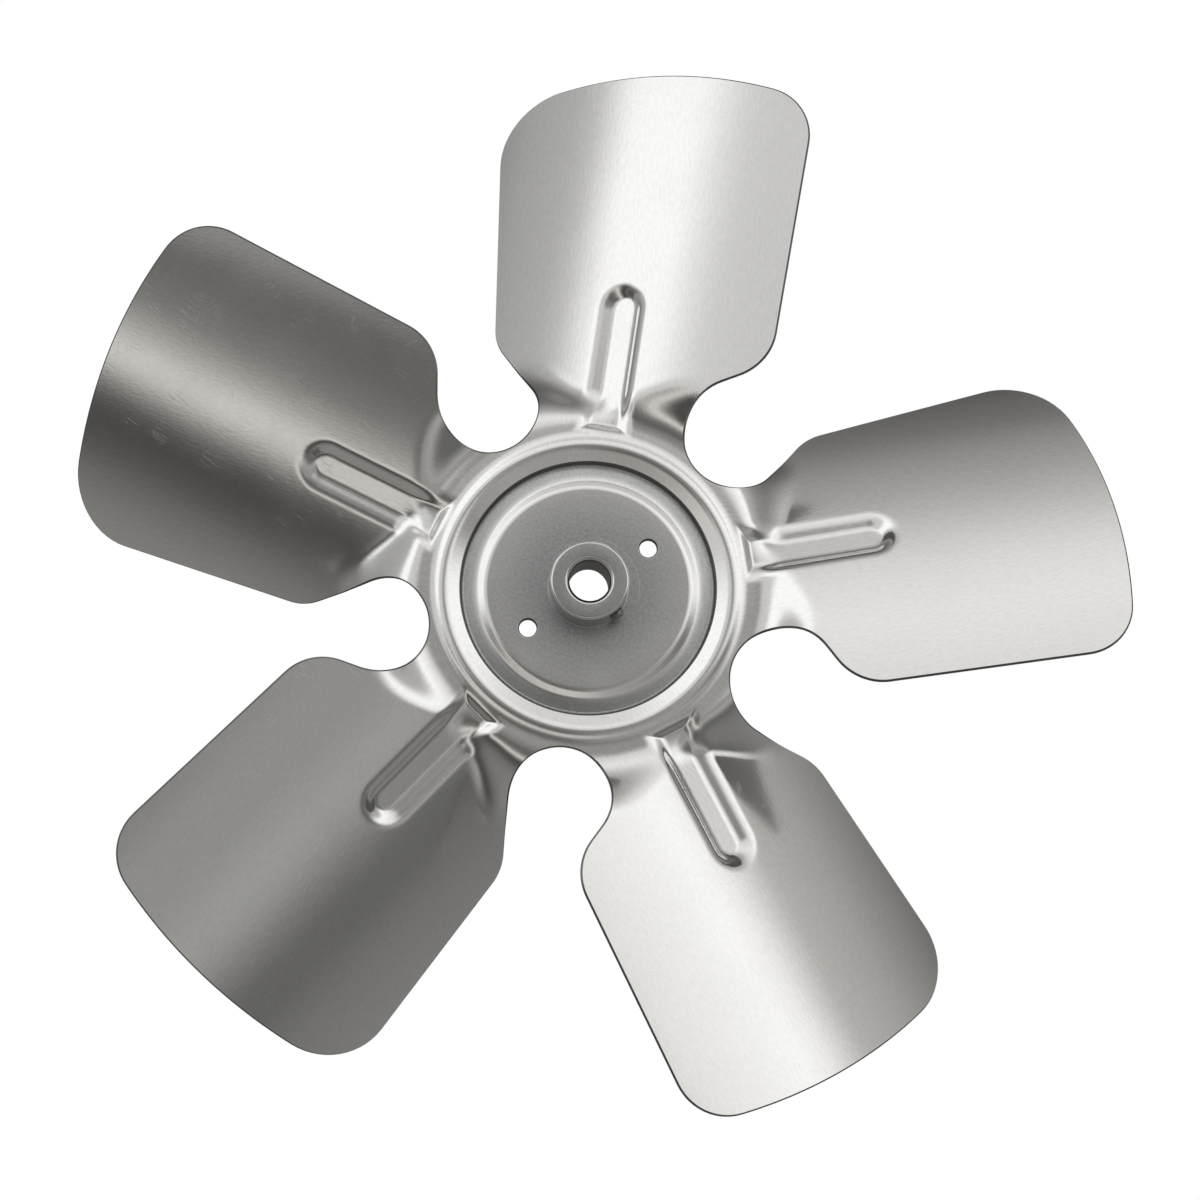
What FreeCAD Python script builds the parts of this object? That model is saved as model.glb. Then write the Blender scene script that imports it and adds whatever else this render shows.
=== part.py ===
import FreeCAD, Part
import math
import os
import Sketcher

# Five-blade axial fan impeller. One pressed sheet spider carries the blades, a pressed hub plate is
# seated under its ring, a turned bush is staked into the plate, and a set screw sits in the bush.
# Origin on the bore axis at the plate's front face, +Z towards the bush's free end, one blade on +Y.

DRIVING_SIZES = [
    ("blade_count", 5, "blades around the axis"),
    ("tip_radius", 127.0, "circle that the blade tips lie on"),
    ("sheet_gauge", 1.2, "thickness of the spider's sheet"),
    ("opening_radius", 30.0, "edge of the spider's central opening"),
    ("opening_height", 0.8, "front face of the sheet at the opening's edge"),
    ("lip_width", 4.1, "lip that slopes up from the opening to the crest"),
    ("lip_rise", 2.0, "height of the crest over the opening's edge"),
    ("crest_fall_width", 2.5, "slope from the crest down to the blade roots"),
    ("crest_fall", 1.3, "height of the crest over the blade roots"),
    ("web_width", 1.6, "flat ring between that slope and the notches"),
    ("flat_margin", 0.6, "flat kept outside the notches' inner circle, before the blades bend"),
    ("crest_round", 1.5, "bend radius at the crest"),
    ("notch_radius", 11.9, "round notch between two blades"),
    ("notch_lead_share", 0.608, "notch after a blade's axis, as a share of the sector"),
    ("root_corner_reach", 18.4, "root corner centres beyond the notch centres"),
    ("root_corner_radius", 12.7, "blade corners beside the notches"),
    ("root_lead_share", 0.378, "leading root corner, as a share of the sector"),
    ("root_trail_share", 0.111, "trailing root corner, as a share of the sector"),
    ("tip_lead_radius", 12.7, "leading tip corner"),
    ("tip_trail_radius", 15.5, "trailing tip corner"),
    ("tip_lead_share", 0.282, "leading tip corner, as a share of the sector"),
    ("tip_trail_share", 0.040, "trailing tip corner, as a share of the sector"),
    ("rib_blend_length", 10.0, "stretch beside the rib in which the flat root turns into the blade"),
    ("lead_blend_length", 23.0, "the same stretch at the leading side, which lies low"),
    ("trail_blend_length", 17.0, "the same stretch at the trailing side, which lies high"),
    ("blend_reach", 24.0, "distance from the rib at which the stretch is longest"),
    ("blade_pitch", 29.3, "slope of the blade across its rib, in degrees"),
    ("camber_radius", 130.0, "bend radius of the blade"),
    ("rib_drop", 1.5, "blade face at the rib, under the flat root"),
    ("rib_lean", 8.6, "angle between the rib and the blade's axis, in degrees"),
    ("rib_offset", 2.1, "distance from the rib's line to the bore axis"),
    ("rib_end", 74.2, "outer end of the rib's groove along its line"),
    ("rib_floor_width", 6.0, "flat floor of the groove"),
    ("rib_wall_width", 2.9, "run of each sloping wall"),
    ("rib_depth", 1.8, "depth of the groove"),
    ("rib_ramp", 2.2, "sloping inner end of the groove"),
    ("rib_margin", 0.6, "groove begins this far outside the crest's slope"),
    ("bead_lead", 0.3, "the rib's rear side begins this much earlier"),
    ("plate_gauge", 1.6, "thickness of the hub plate"),
    ("plate_flat_radius", 24.6, "raised flat of the hub plate"),
    ("plate_shoulder_width", 1.3, "sloping shoulder around the flat"),
    ("plate_shoulder_drop", 1.1, "height of that shoulder"),
    ("plate_band_drop", 0.5, "fall of the band between shoulder and rim"),
    ("plate_rim_gap", 0.6, "gap between the plate's rim and the opening's edge"),
    ("flange_start", 0.2, "flange begins this far outside the opening's edge"),
    ("flange_width", 2.6, "width of the flange under the lip"),
    ("seat_gap", 0.04, "joint between the flange and the lip"),
    ("rear_lean", 0.48, "rear corners of the bends, closer to the axis than the front ones"),
    ("plate_bend_round", 0.7, "bend radii of the shoulder"),
    ("drill_radius", 2.07, "two small holes in the plate"),
    ("drill_circle_radius", 17.1, "circle of the small holes"),
    ("drill_angle", 33.8, "direction of the small holes, in degrees"),
    ("drill_edge_chamfer", 0.4, "broken edge of the small holes"),
    ("bore_radius", 4.7625, "shaft bore"),
    ("bore_mouth_chamfer", 0.75, "chamfer at the bore's front mouth"),
    ("bush_radius", 9.25, "outside of the bush"),
    ("bush_height", 12.1, "bush in front of the plate"),
    ("bush_edge_chamfer", 0.45, "outer front edge of the bush"),
    ("collar_radius", 9.65, "thin collar at the bush's foot"),
    ("collar_height", 0.4, "height of that collar"),
    ("spigot_radius", 7.5, "spigot through the plate"),
    ("spigot_fit", 0.03, "radial clearance of the spigot in the plate"),
    ("stake_height", 1.2, "staked end behind the plate"),
    ("stake_spread", 0.8, "how far the staked end spreads over the hole"),
    ("rear_chamfer", 0.4, "chamfers at the bush's rear end"),
    ("screw_radius", 2.0, "set screw"),
    ("screw_fit", 0.04, "radial clearance of the set screw in its hole"),
    ("screw_length", 5.0, "length of the set screw"),
    ("screw_stand", 1.3, "set screw standing out of the bush"),
    ("screw_height", 5.2, "set screw axis in front of the plate"),
    ("screw_angle", -47.0, "direction of the set screw, in degrees"),
    ("screw_edge_chamfer", 0.35, "edge at both ends of the set screw"),
    ("socket_flats", 2.0, "hexagon socket across its flats"),
    ("socket_depth", 1.8, "depth of the socket"),
]

doc = FreeCAD.newDocument("impeller")


def make_sheet():
    """Spreadsheet with one row for each driving size."""
    sheet = doc.addObject("Spreadsheet::Sheet", "Sizes")
    for row, (alias, value, note) in enumerate(DRIVING_SIZES, start=1):
        sheet.set("A%d" % row, alias)
        sheet.set("B%d" % row, str(value))
        sheet.set("C%d" % row, note)
        sheet.setAlias("B%d" % row, alias)
    doc.recompute()
    return sheet


sizes = make_sheet()


def origin_plane(body, role):
    """Origin plane or axis of a body, found by its role."""
    for feature in body.Origin.OriginFeatures:
        if feature.Role == role:
            return feature
    raise ValueError("no origin feature " + role)


def new_body(label):
    body = doc.addObject("PartDesign::Body", label)
    body.Label = label
    return body


def attach(sketch, body, role):
    sketch.AttachmentSupport = [(origin_plane(body, role), "")]
    sketch.MapMode = "FlatFace"


def place_point(sketch, geometry, end, across, along):
    """Bind a sketch point to two expressions; None keeps it on that axis."""
    if across is None:
        sketch.addConstraint(Sketcher.Constraint("PointOnObject", geometry, end, -2))
    else:
        index = sketch.addConstraint(Sketcher.Constraint("DistanceX", -1, 1, geometry, end, 1.0))
        sketch.setExpression("Constraints[%d]" % index, across)
    if along is None:
        sketch.addConstraint(Sketcher.Constraint("PointOnObject", geometry, end, -1))
    else:
        index = sketch.addConstraint(Sketcher.Constraint("DistanceY", -1, 1, geometry, end, 1.0))
        sketch.setExpression("Constraints[%d]" % index, along)


def profile_sketch(body, name, role, corners):
    """Closed straight-sided profile whose corners are pairs of expressions."""
    sketch = body.newObject("Sketcher::SketchObject", name)
    attach(sketch, body, role)
    count = len(corners)
    start = [FreeCAD.Vector(20 + 9 * math.cos(2 * math.pi * i / count),
                            9 * math.sin(2 * math.pi * i / count), 0) for i in range(count)]
    for i in range(count):
        sketch.addGeometry(Part.LineSegment(start[i], start[(i + 1) % count]), False)
    for i in range(count):
        sketch.addConstraint(Sketcher.Constraint("Coincident", i, 2, (i + 1) % count, 1))
    for i, (across, along) in enumerate(corners):
        place_point(sketch, i, 1, across, along)
    return sketch


def circle_sketch(body, name, role, across, along, radius):
    """One circle whose centre and radius are expressions."""
    sketch = body.newObject("Sketcher::SketchObject", name)
    attach(sketch, body, role)
    sketch.addGeometry(Part.Circle(FreeCAD.Vector(1, 1, 0), FreeCAD.Vector(0, 0, 1), 1.0), False)
    index = sketch.addConstraint(Sketcher.Constraint("Radius", 0, 1.0))
    sketch.setExpression("Constraints[%d]" % index, radius)
    place_point(sketch, 0, 3, across, along)
    return sketch


def revolve(body, name, sketch):
    feature = body.newObject("PartDesign::Revolution", name)
    feature.Profile = sketch
    feature.ReferenceAxis = (sketch, ["V_Axis"])
    feature.Angle = 360.0
    doc.recompute()
    return feature


def circular_edges(shape, radius, height):
    """Names of the round edges of this radius at this height."""
    names = []
    for number, edge in enumerate(shape.Edges, start=1):
        curve = edge.Curve
        if isinstance(curve, Part.Circle) and abs(curve.Radius - radius) < 1e-4:
            if abs(curve.Center.z - height) < 1e-4:
                names.append("Edge%d" % number)
    return names


# Blade spider: the flat blank's outline, the pressed ring, the formed blades and their ribs

sector = 360.0 / sizes.blade_count
root_height = sizes.opening_height + sizes.lip_rise - sizes.crest_fall
crest_radius = sizes.opening_radius + sizes.lip_width
root_radius = crest_radius + sizes.crest_fall_width
notch_inner_radius = root_radius + sizes.web_width
notch_centre_radius = notch_inner_radius + sizes.notch_radius
blend_start = notch_inner_radius + sizes.flat_margin
lean = math.radians(sizes.rib_lean)
lip_slope = math.atan2(sizes.lip_rise, sizes.lip_width)


def polar(radius, share):
    """Point at a share of the sector clockwise of the blade's axis, which is +Y."""
    angle = math.radians(share * sector)
    return FreeCAD.Vector(radius * math.sin(angle), radius * math.cos(angle), 0)


def turned(vector, steps):
    """Vector turned about Z by whole sectors, counterclockwise."""
    rotation = FreeCAD.Rotation(FreeCAD.Vector(0, 0, 1), steps * sector)
    return rotation.multVec(vector)


def belt_line(first, second, crossing):
    """Straight line of a belt that runs counterclockwise round circle after circle.

    Each circle is a (centre, radius) pair. A crossing line changes the side of the belt.
    """
    gap = second[0].sub(first[0])
    length = gap.Length
    ahead = FreeCAD.Vector(gap).normalize()
    left = FreeCAD.Vector(-ahead.y, ahead.x, 0)
    sine = crossing / length
    cosine = math.sqrt(1.0 - sine * sine)
    return ahead * cosine + left * sine


def outline_wire():
    """Outline of the whole blank: notches, root corners, side lines, tip corners and tip arcs."""
    root_corner_circle = notch_centre_radius + sizes.root_corner_reach
    largest_share = 0.98
    notch = (polar(notch_centre_radius, sizes.notch_lead_share), sizes.notch_radius)
    next_notch = (turned(notch[0], 1), sizes.notch_radius)

    def root_corner(share, neighbour):
        centre = polar(root_corner_circle, share)
        room = centre.sub(neighbour[0]).Length - sizes.notch_radius
        return (centre, min(sizes.root_corner_radius, largest_share * room))

    lead_root = root_corner(sizes.root_lead_share, notch)
    trail_root = root_corner(-sizes.root_trail_share, next_notch)
    lead_tip = (polar(sizes.tip_radius - sizes.tip_lead_radius, sizes.tip_lead_share),
                sizes.tip_lead_radius)
    trail_tip = (polar(sizes.tip_radius - sizes.tip_trail_radius, -sizes.tip_trail_share),
                 sizes.tip_trail_radius)

    def line_between(first, second, first_side, second_side):
        """Directed tangent: side +1 turns left round its circle, -1 turns right."""
        crossing = first_side * first[1] - second_side * second[1]
        along = belt_line(first, second, crossing)
        left = FreeCAD.Vector(-along.y, along.x, 0)
        start = first[0] - left * (first_side * first[1])
        end = second[0] - left * (second_side * second[1])
        return start, end

    into_lead = line_between(notch, lead_root, -1, 1)
    lead_side = line_between(lead_root, lead_tip, 1, 1)
    trail_side = line_between(trail_tip, trail_root, 1, 1)
    out_of_trail = line_between(trail_root, next_notch, 1, -1)
    lead_tip_end = FreeCAD.Vector(lead_tip[0]).normalize() * sizes.tip_radius
    trail_tip_end = FreeCAD.Vector(trail_tip[0]).normalize() * sizes.tip_radius
    tip_middle = (lead_tip_end + trail_tip_end).normalize() * sizes.tip_radius
    notch_start = turned(out_of_trail[1], -1)
    notch_bottom = FreeCAD.Vector(notch[0]).normalize() * notch_inner_radius

    def corner_arc(circle, start, end):
        bisector = (start - circle[0]) + (end - circle[0])
        middle = circle[0] + bisector.normalize() * circle[1]
        return Part.Arc(start, middle, end)

    pieces = [
        Part.Arc(notch_start, notch_bottom, into_lead[0]),
        Part.LineSegment(*into_lead),
        corner_arc(lead_root, into_lead[1], lead_side[0]),
        Part.LineSegment(*lead_side),
        corner_arc(lead_tip, lead_side[1], lead_tip_end),
        Part.Arc(lead_tip_end, tip_middle, trail_tip_end),
        corner_arc(trail_tip, trail_tip_end, trail_side[0]),
        Part.LineSegment(*trail_side),
        corner_arc(trail_root, trail_side[1], out_of_trail[0]),
        Part.LineSegment(*out_of_trail),
    ]
    edges = []
    for step in range(sizes.blade_count):
        spin = FreeCAD.Placement(FreeCAD.Vector(), FreeCAD.Rotation(FreeCAD.Vector(0, 0, 1), step * sector))
        for piece in pieces:
            edge = piece.toShape()
            edge.Placement = spin
            edges.append(edge)
    return Part.Wire(Part.__sortEdges__(edges))


def blank_prism():
    """The blank's outline and opening, carried up and down past the formed sheet."""
    reach = sizes.tip_radius
    below = FreeCAD.Vector(0, 0, -reach)
    face = Part.Face(outline_wire())
    face.translate(below)
    opening = Part.makeCylinder(sizes.opening_radius, 2 * reach, below)
    return face.extrude(FreeCAD.Vector(0, 0, 2 * reach)).cut(opening)


def smooth_step(share):
    """Rise from 0 to 1 that starts and ends with no slope and no bend."""
    share = min(1.0, max(0.0, share))
    return share ** 3 * (share * (6.0 * share - 15.0) + 10.0)


def blade_height(across):
    """Front face of the bent blade at a distance across its rib: a circular arc, under the root."""
    centre_sine = math.sin(math.radians(sizes.blade_pitch))
    centre_cosine = math.cos(math.radians(sizes.blade_pitch))
    sine = centre_sine - across / sizes.camber_radius
    limit = 0.9
    held = min(limit, max(-limit, sine))
    height = root_height - sizes.rib_drop
    height += sizes.camber_radius * (math.sqrt(1.0 - held * held) - centre_cosine)
    overrun = (held - sine) * sizes.camber_radius
    return height + overrun * held / math.sqrt(1.0 - held * held)


def front_height(east, north):
    """Front face of the formed sheet: flat at the root, bent and pitched past the blend.

    The blend is short beside the rib, which keeps the blade's pitch up to the ring.
    """
    across = east * math.cos(lean) - north * math.sin(lean) + sizes.rib_offset
    sideways = smooth_step(abs(across) / sizes.blend_reach)
    longest = sizes.trail_blend_length if across > 0 else sizes.lead_blend_length
    stretch = sizes.rib_blend_length + (longest - sizes.rib_blend_length) * sideways
    share = smooth_step((math.hypot(east, north) - blend_start) / stretch)
    return root_height * (1.0 - share) + blade_height(across) * share


def front_point(east, north):
    return FreeCAD.Vector(east, north, front_height(east, north))


def front_normal(east, north):
    step = 0.01
    rise_east = (front_height(east + step, north) - front_height(east - step, north)) / (2 * step)
    rise_north = (front_height(east, north + step) - front_height(east, north - step)) / (2 * step)
    return FreeCAD.Vector(-rise_east, -rise_north, 1.0).normalize()


def blade_sheet():
    """Formed sheet of one blade before trimming: two skins and four edge faces.

    It starts inside the ring's flat edge, a hair thinner there, so the two join as one solid. The
    grid lines crowd towards the root, where the sheet changes most.
    """
    ring_steps = 18
    turn_steps = 16
    crowding = 1.8
    overlap = 0.5
    inset = 0.02
    side_margin = 0.3
    tip_margin = 2.0
    tip_narrowing = 0.17
    start_radius = blend_start - overlap
    reach = sizes.tip_radius + tip_margin - start_radius
    front = []
    rear = []
    for i in range(ring_steps + 1):
        outward = (i / ring_steps) ** crowding
        radius = start_radius + reach * outward
        spared = tip_narrowing * outward ** 2
        front_row = []
        rear_row = []
        for j in range(turn_steps + 1):
            across = 2.0 * j / turn_steps - 1.0
            turn = sector * (sizes.notch_lead_share - 0.5 + across * (0.5 - spared)) + side_margin * across
            angle = math.radians(turn)
            point = front_point(radius * math.sin(angle), radius * math.cos(angle))
            normal = front_normal(point.x, point.y)
            front_row.append(point - normal * inset)
            rear_row.append(point - normal * (sizes.sheet_gauge - inset))
        front.append(front_row)
        rear.append(rear_row)
    skins = []
    for grid in (front, rear):
        surface = Part.BSplineSurface()
        surface.interpolate(grid)
        skins.append(surface)
    faces = [skin.toShape() for skin in skins]
    first_u, last_u, first_v, last_v = skins[0].bounds()
    for index, parameter in ((0, first_u), (0, last_u), (1, first_v), (1, last_v)):
        rims = [skin.uIso(parameter) if index == 0 else skin.vIso(parameter) for skin in skins]
        faces.append(Part.makeRuledSurface(rims[0].toShape(), rims[1].toShape()))
    shell = Part.makeShell(faces)
    shell.sewShape()
    return Part.makeSolid(shell)


def offset_corners(corners, distance):
    """Corners of a line that runs at a distance to the right of an open chain of corners."""
    moved = []
    directions = [(b - a).normalize() for a, b in zip(corners, corners[1:])]
    for i, corner in enumerate(corners):
        before = directions[max(0, i - 1)]
        after = directions[min(len(directions) - 1, i)]
        side_before = FreeCAD.Vector(before.z, 0, -before.x)
        side_after = FreeCAD.Vector(after.z, 0, -after.x)
        mitre = side_before + side_after
        moved.append(corner + mitre * (distance / (1.0 + side_before.dot(side_after))))
    return moved


def bent_chain(corners, radii):
    """Lines of an open chain of corners, with an arc of the given radius at each inner corner."""
    pieces = []
    start = corners[0]
    for before, corner, after, radius in zip(corners, corners[1:], corners[2:], radii):
        back = (before - corner).normalize()
        ahead = (after - corner).normalize()
        half_angle = back.getAngle(ahead) / 2
        reach = radius / math.tan(half_angle)
        inward = (back + ahead).normalize()
        middle = corner + inward * (radius / math.sin(half_angle) - radius)
        pieces.append(Part.LineSegment(start, corner + back * reach))
        pieces.append(Part.Arc(corner + back * reach, middle, corner + ahead * reach))
        start = corner + ahead * reach
    pieces.append(Part.LineSegment(start, corners[-1]))
    return pieces


def pressed_ring():
    """One sector of the ring: sloping lip, rounded crest, fall and flat, one gauge thick."""
    lip_overrun = 1.0
    lip_foot = sizes.opening_height - lip_overrun * math.tan(lip_slope)
    front = [
        FreeCAD.Vector(sizes.opening_radius - lip_overrun, 0, lip_foot),
        FreeCAD.Vector(crest_radius, 0, sizes.opening_height + sizes.lip_rise),
        FreeCAD.Vector(root_radius, 0, root_height),
        FreeCAD.Vector(blend_start, 0, root_height),
    ]
    rear = offset_corners(front, sizes.sheet_gauge)
    inner_round = sizes.crest_round - sizes.sheet_gauge
    pieces = bent_chain(front, [sizes.crest_round, inner_round])
    pieces += bent_chain(rear, [inner_round, sizes.crest_round])
    pieces += [Part.LineSegment(front[0], rear[0]), Part.LineSegment(front[-1], rear[-1])]
    edges = [piece.toShape() for piece in pieces]
    section = Part.Face(Part.Wire(Part.__sortEdges__(edges)))
    upward = FreeCAD.Vector(0, 0, 1)
    section.rotate(FreeCAD.Vector(), upward, 90.0 - (sizes.notch_lead_share - 1.0) * sector)
    return section.revolve(FreeCAD.Vector(), upward, -sector)


def rib_section(along, floor_half, low, top_half, high):
    """Four-sided section of a rib tool, square to the rib's line and leaning with the sheet."""
    base_east = -sizes.rib_offset * math.cos(lean) + along * math.sin(lean)
    base_north = sizes.rib_offset * math.sin(lean) + along * math.cos(lean)
    step = 0.5
    right = FreeCAD.Vector(math.cos(lean), -math.sin(lean), 0)
    ahead = front_point(base_east + step * right.x, base_north + step * right.y)
    behind = front_point(base_east - step * right.x, base_north - step * right.y)
    over = (ahead - behind).normalize()
    forward = FreeCAD.Vector(math.sin(lean), math.cos(lean), 0)
    outward = over.cross(forward)
    centre = front_point(base_east, base_north)
    corners = [centre - over * floor_half + outward * low,
               centre + over * floor_half + outward * low,
               centre + over * top_half + outward * high,
               centre - over * top_half + outward * high]
    return Part.makePolygon(corners + corners[:1])


def rib_tool(floor_half, low, high, ramp_start):
    """Rib with sloping walls: an inner ramp, a run that follows the sheet and a round outer end."""
    slope = sizes.rib_wall_width / sizes.rib_depth
    top_half = floor_half + (high - low) * slope
    ramp_end = ramp_start + sizes.rib_ramp
    round_centre = sizes.rib_end - sizes.rib_floor_width / 2 - sizes.rib_wall_width
    ramp_lift = 0.25
    shallow = low + sizes.rib_depth + ramp_lift
    ramp = Part.makeLoft([rib_section(ramp_start, floor_half, shallow, top_half, high),
                          rib_section(ramp_end, floor_half, low, top_half, high)], True, True)
    stations = 6
    run = Part.makeLoft([rib_section(ramp_end + (round_centre - ramp_end) * i / stations,
                                     floor_half, low, top_half, high)
                         for i in range(stations + 1)], True, False)
    section = rib_section(round_centre, floor_half, low, top_half, high)
    corners = [vertex.Point for vertex in section.OrderedVertexes]
    floor_middle = (corners[0] + corners[1]) * 0.5
    top_middle = (corners[2] + corners[3]) * 0.5
    half = Part.Face(Part.makePolygon([floor_middle, corners[1], corners[2], top_middle, floor_middle]))
    end = half.revolve(floor_middle, top_middle - floor_middle, 180.0)
    return ramp.fuse([run, end])


def build_spider():
    """Ring and formed sheet, each cut to the blank's outline, joined, then the ribs pressed in."""
    blank = blank_prism()
    blade = pressed_ring().common(blank).fuse(blade_sheet().common(blank))
    wall_angle = math.atan2(sizes.rib_depth, sizes.rib_wall_width)
    bead_half = sizes.rib_floor_width / 2 + sizes.sheet_gauge * math.tan(wall_angle / 2)
    bead = rib_tool(bead_half, -sizes.rib_depth - sizes.sheet_gauge, -sizes.sheet_gauge / 2,
                    root_radius + sizes.rib_margin - sizes.bead_lead)
    groove_start = root_radius + sizes.rib_margin
    groove = rib_tool(sizes.rib_floor_width / 2, -sizes.rib_depth, sizes.rib_depth / 2, groove_start)
    one_sector = blade.fuse(bead).cut(groove)
    others = []
    for step in range(1, sizes.blade_count):
        copy = one_sector.copy()
        copy.rotate(FreeCAD.Vector(), FreeCAD.Vector(0, 0, 1), step * sector)
        others.append(copy)
    return one_sector.fuse(others)


def make_spider():
    spider = doc.addObject("Part::Feature", "blade_spider")
    spider.Label = "blade_spider"
    spider.Shape = build_spider()
    spider.Placement = FreeCAD.Placement()
    return spider


# Hub plate: a raised flat, a shoulder, a falling band, and a flange that nests under the lip

def make_plate():
    body = new_body("hub_plate")
    rim = "Sizes.opening_radius - Sizes.plate_rim_gap"
    rim_height = "-Sizes.plate_shoulder_drop - Sizes.plate_band_drop"
    shoulder = "Sizes.plate_flat_radius + Sizes.plate_shoulder_width"
    slope = "(Sizes.lip_rise / Sizes.lip_width)"
    stretch = "sqrt(1 + %s ^ 2)" % slope
    seat = "(Sizes.opening_height - (Sizes.sheet_gauge + Sizes.seat_gap) * %s)" % stretch
    inner = "Sizes.flange_start"
    outer = "(Sizes.flange_start + Sizes.flange_width)"
    lean_in = "Sizes.rear_lean"
    flange_depth = "Sizes.plate_gauge * %s" % stretch
    corners = [
        ("Sizes.spigot_radius + Sizes.spigot_fit", None),
        ("Sizes.plate_flat_radius", None),
        (shoulder, "-Sizes.plate_shoulder_drop"),
        (rim, rim_height),
        ("Sizes.opening_radius + %s" % inner, "%s + %s * %s" % (seat, inner, slope)),
        ("Sizes.opening_radius + %s" % outer, "%s + %s * %s" % (seat, outer, slope)),
        ("Sizes.opening_radius + %s" % outer, "%s + %s * %s - %s" % (seat, outer, slope, flange_depth)),
        (rim + " + " + lean_in, rim_height + " - Sizes.plate_gauge"),
        (shoulder + " - " + lean_in, "-Sizes.plate_shoulder_drop - Sizes.plate_gauge"),
        ("Sizes.plate_flat_radius - " + lean_in, "-Sizes.plate_gauge"),
        ("Sizes.spigot_radius + Sizes.spigot_fit", "-Sizes.plate_gauge"),
    ]
    dish = revolve(body, "PlateDish", profile_sketch(body, "PlateProfile", "XZ_Plane", corners))
    bend = body.newObject("PartDesign::Fillet", "ShoulderBends")
    bend.Base = (dish, circular_edges(dish.Shape, sizes.plate_flat_radius, 0.0)
                 + circular_edges(dish.Shape, sizes.plate_flat_radius + sizes.plate_shoulder_width,
                                  -sizes.plate_shoulder_drop))
    bend.setExpression("Radius", "Sizes.plate_bend_round")
    doc.recompute()
    drill = circle_sketch(body, "DrillCircle", "XY_Plane", "Sizes.drill_circle_radius", None,
                          "Sizes.drill_radius")
    pocket = body.newObject("PartDesign::Pocket", "DrillHole")
    pocket.Profile = drill
    pocket.Type = "ThroughAll"
    pocket.Midplane = True
    doc.recompute()
    pair = body.newObject("PartDesign::PolarPattern", "DrillPair")
    pair.Originals = [pocket]
    pair.Axis = (drill, ["N_Axis"])
    pair.Angle = 360.0
    pair.Occurrences = 2
    body.Tip = pair
    doc.recompute()
    broken = body.newObject("PartDesign::Chamfer", "DrillEdges")
    broken.Base = (pair, circular_edges(pair.Shape, sizes.drill_radius, 0.0))
    broken.setExpression("Size", "Sizes.drill_edge_chamfer")
    body.setExpression("Placement.Rotation.Angle", "Sizes.drill_angle")
    doc.recompute()
    return body


# Hub bush: turned, with a collar on the plate's face, a spigot through it and a staked rear end

def screw_turn():
    """Rotation that brings the bush's own +Y to the set screw's direction."""
    return FreeCAD.Rotation(FreeCAD.Vector(0, 0, 1), sizes.screw_angle - 90.0)


def make_bush():
    body = new_body("hub_bush")
    rear = "-Sizes.plate_gauge - Sizes.stake_height"
    stake = "Sizes.spigot_radius + Sizes.stake_spread"
    corners = [
        ("Sizes.bore_radius", rear + " + Sizes.rear_chamfer"),
        ("Sizes.bore_radius + Sizes.rear_chamfer", rear),
        (stake + " - Sizes.rear_chamfer", rear),
        (stake, "-Sizes.plate_gauge - Sizes.stake_height / 2"),
        (stake, "-Sizes.plate_gauge"),
        ("Sizes.spigot_radius", "-Sizes.plate_gauge"),
        ("Sizes.spigot_radius", None),
        ("Sizes.collar_radius", None),
        ("Sizes.collar_radius", "Sizes.collar_height"),
        ("Sizes.bush_radius", "Sizes.collar_height"),
        ("Sizes.bush_radius", "Sizes.bush_height - Sizes.bush_edge_chamfer"),
        ("Sizes.bush_radius - Sizes.bush_edge_chamfer", "Sizes.bush_height"),
        ("Sizes.bore_radius + Sizes.bore_mouth_chamfer", "Sizes.bush_height"),
        ("Sizes.bore_radius", "Sizes.bush_height - Sizes.bore_mouth_chamfer"),
    ]
    revolve(body, "BushTurning", profile_sketch(body, "BushProfile", "XZ_Plane", corners))
    drill = circle_sketch(body, "ScrewHoleCircle", "XZ_Plane", None, "Sizes.screw_height",
                          "Sizes.screw_radius + Sizes.screw_fit")
    hole = body.newObject("PartDesign::Pocket", "ScrewHole")
    hole.Profile = drill
    hole.Type = "Length"
    hole.setExpression("Length", "Sizes.bush_radius + 1")
    doc.recompute()
    body.Placement = FreeCAD.Placement(FreeCAD.Vector(), screw_turn())
    return body


# Set screw: a short threaded pin with a hexagon socket, standing a little out of the bush

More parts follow.
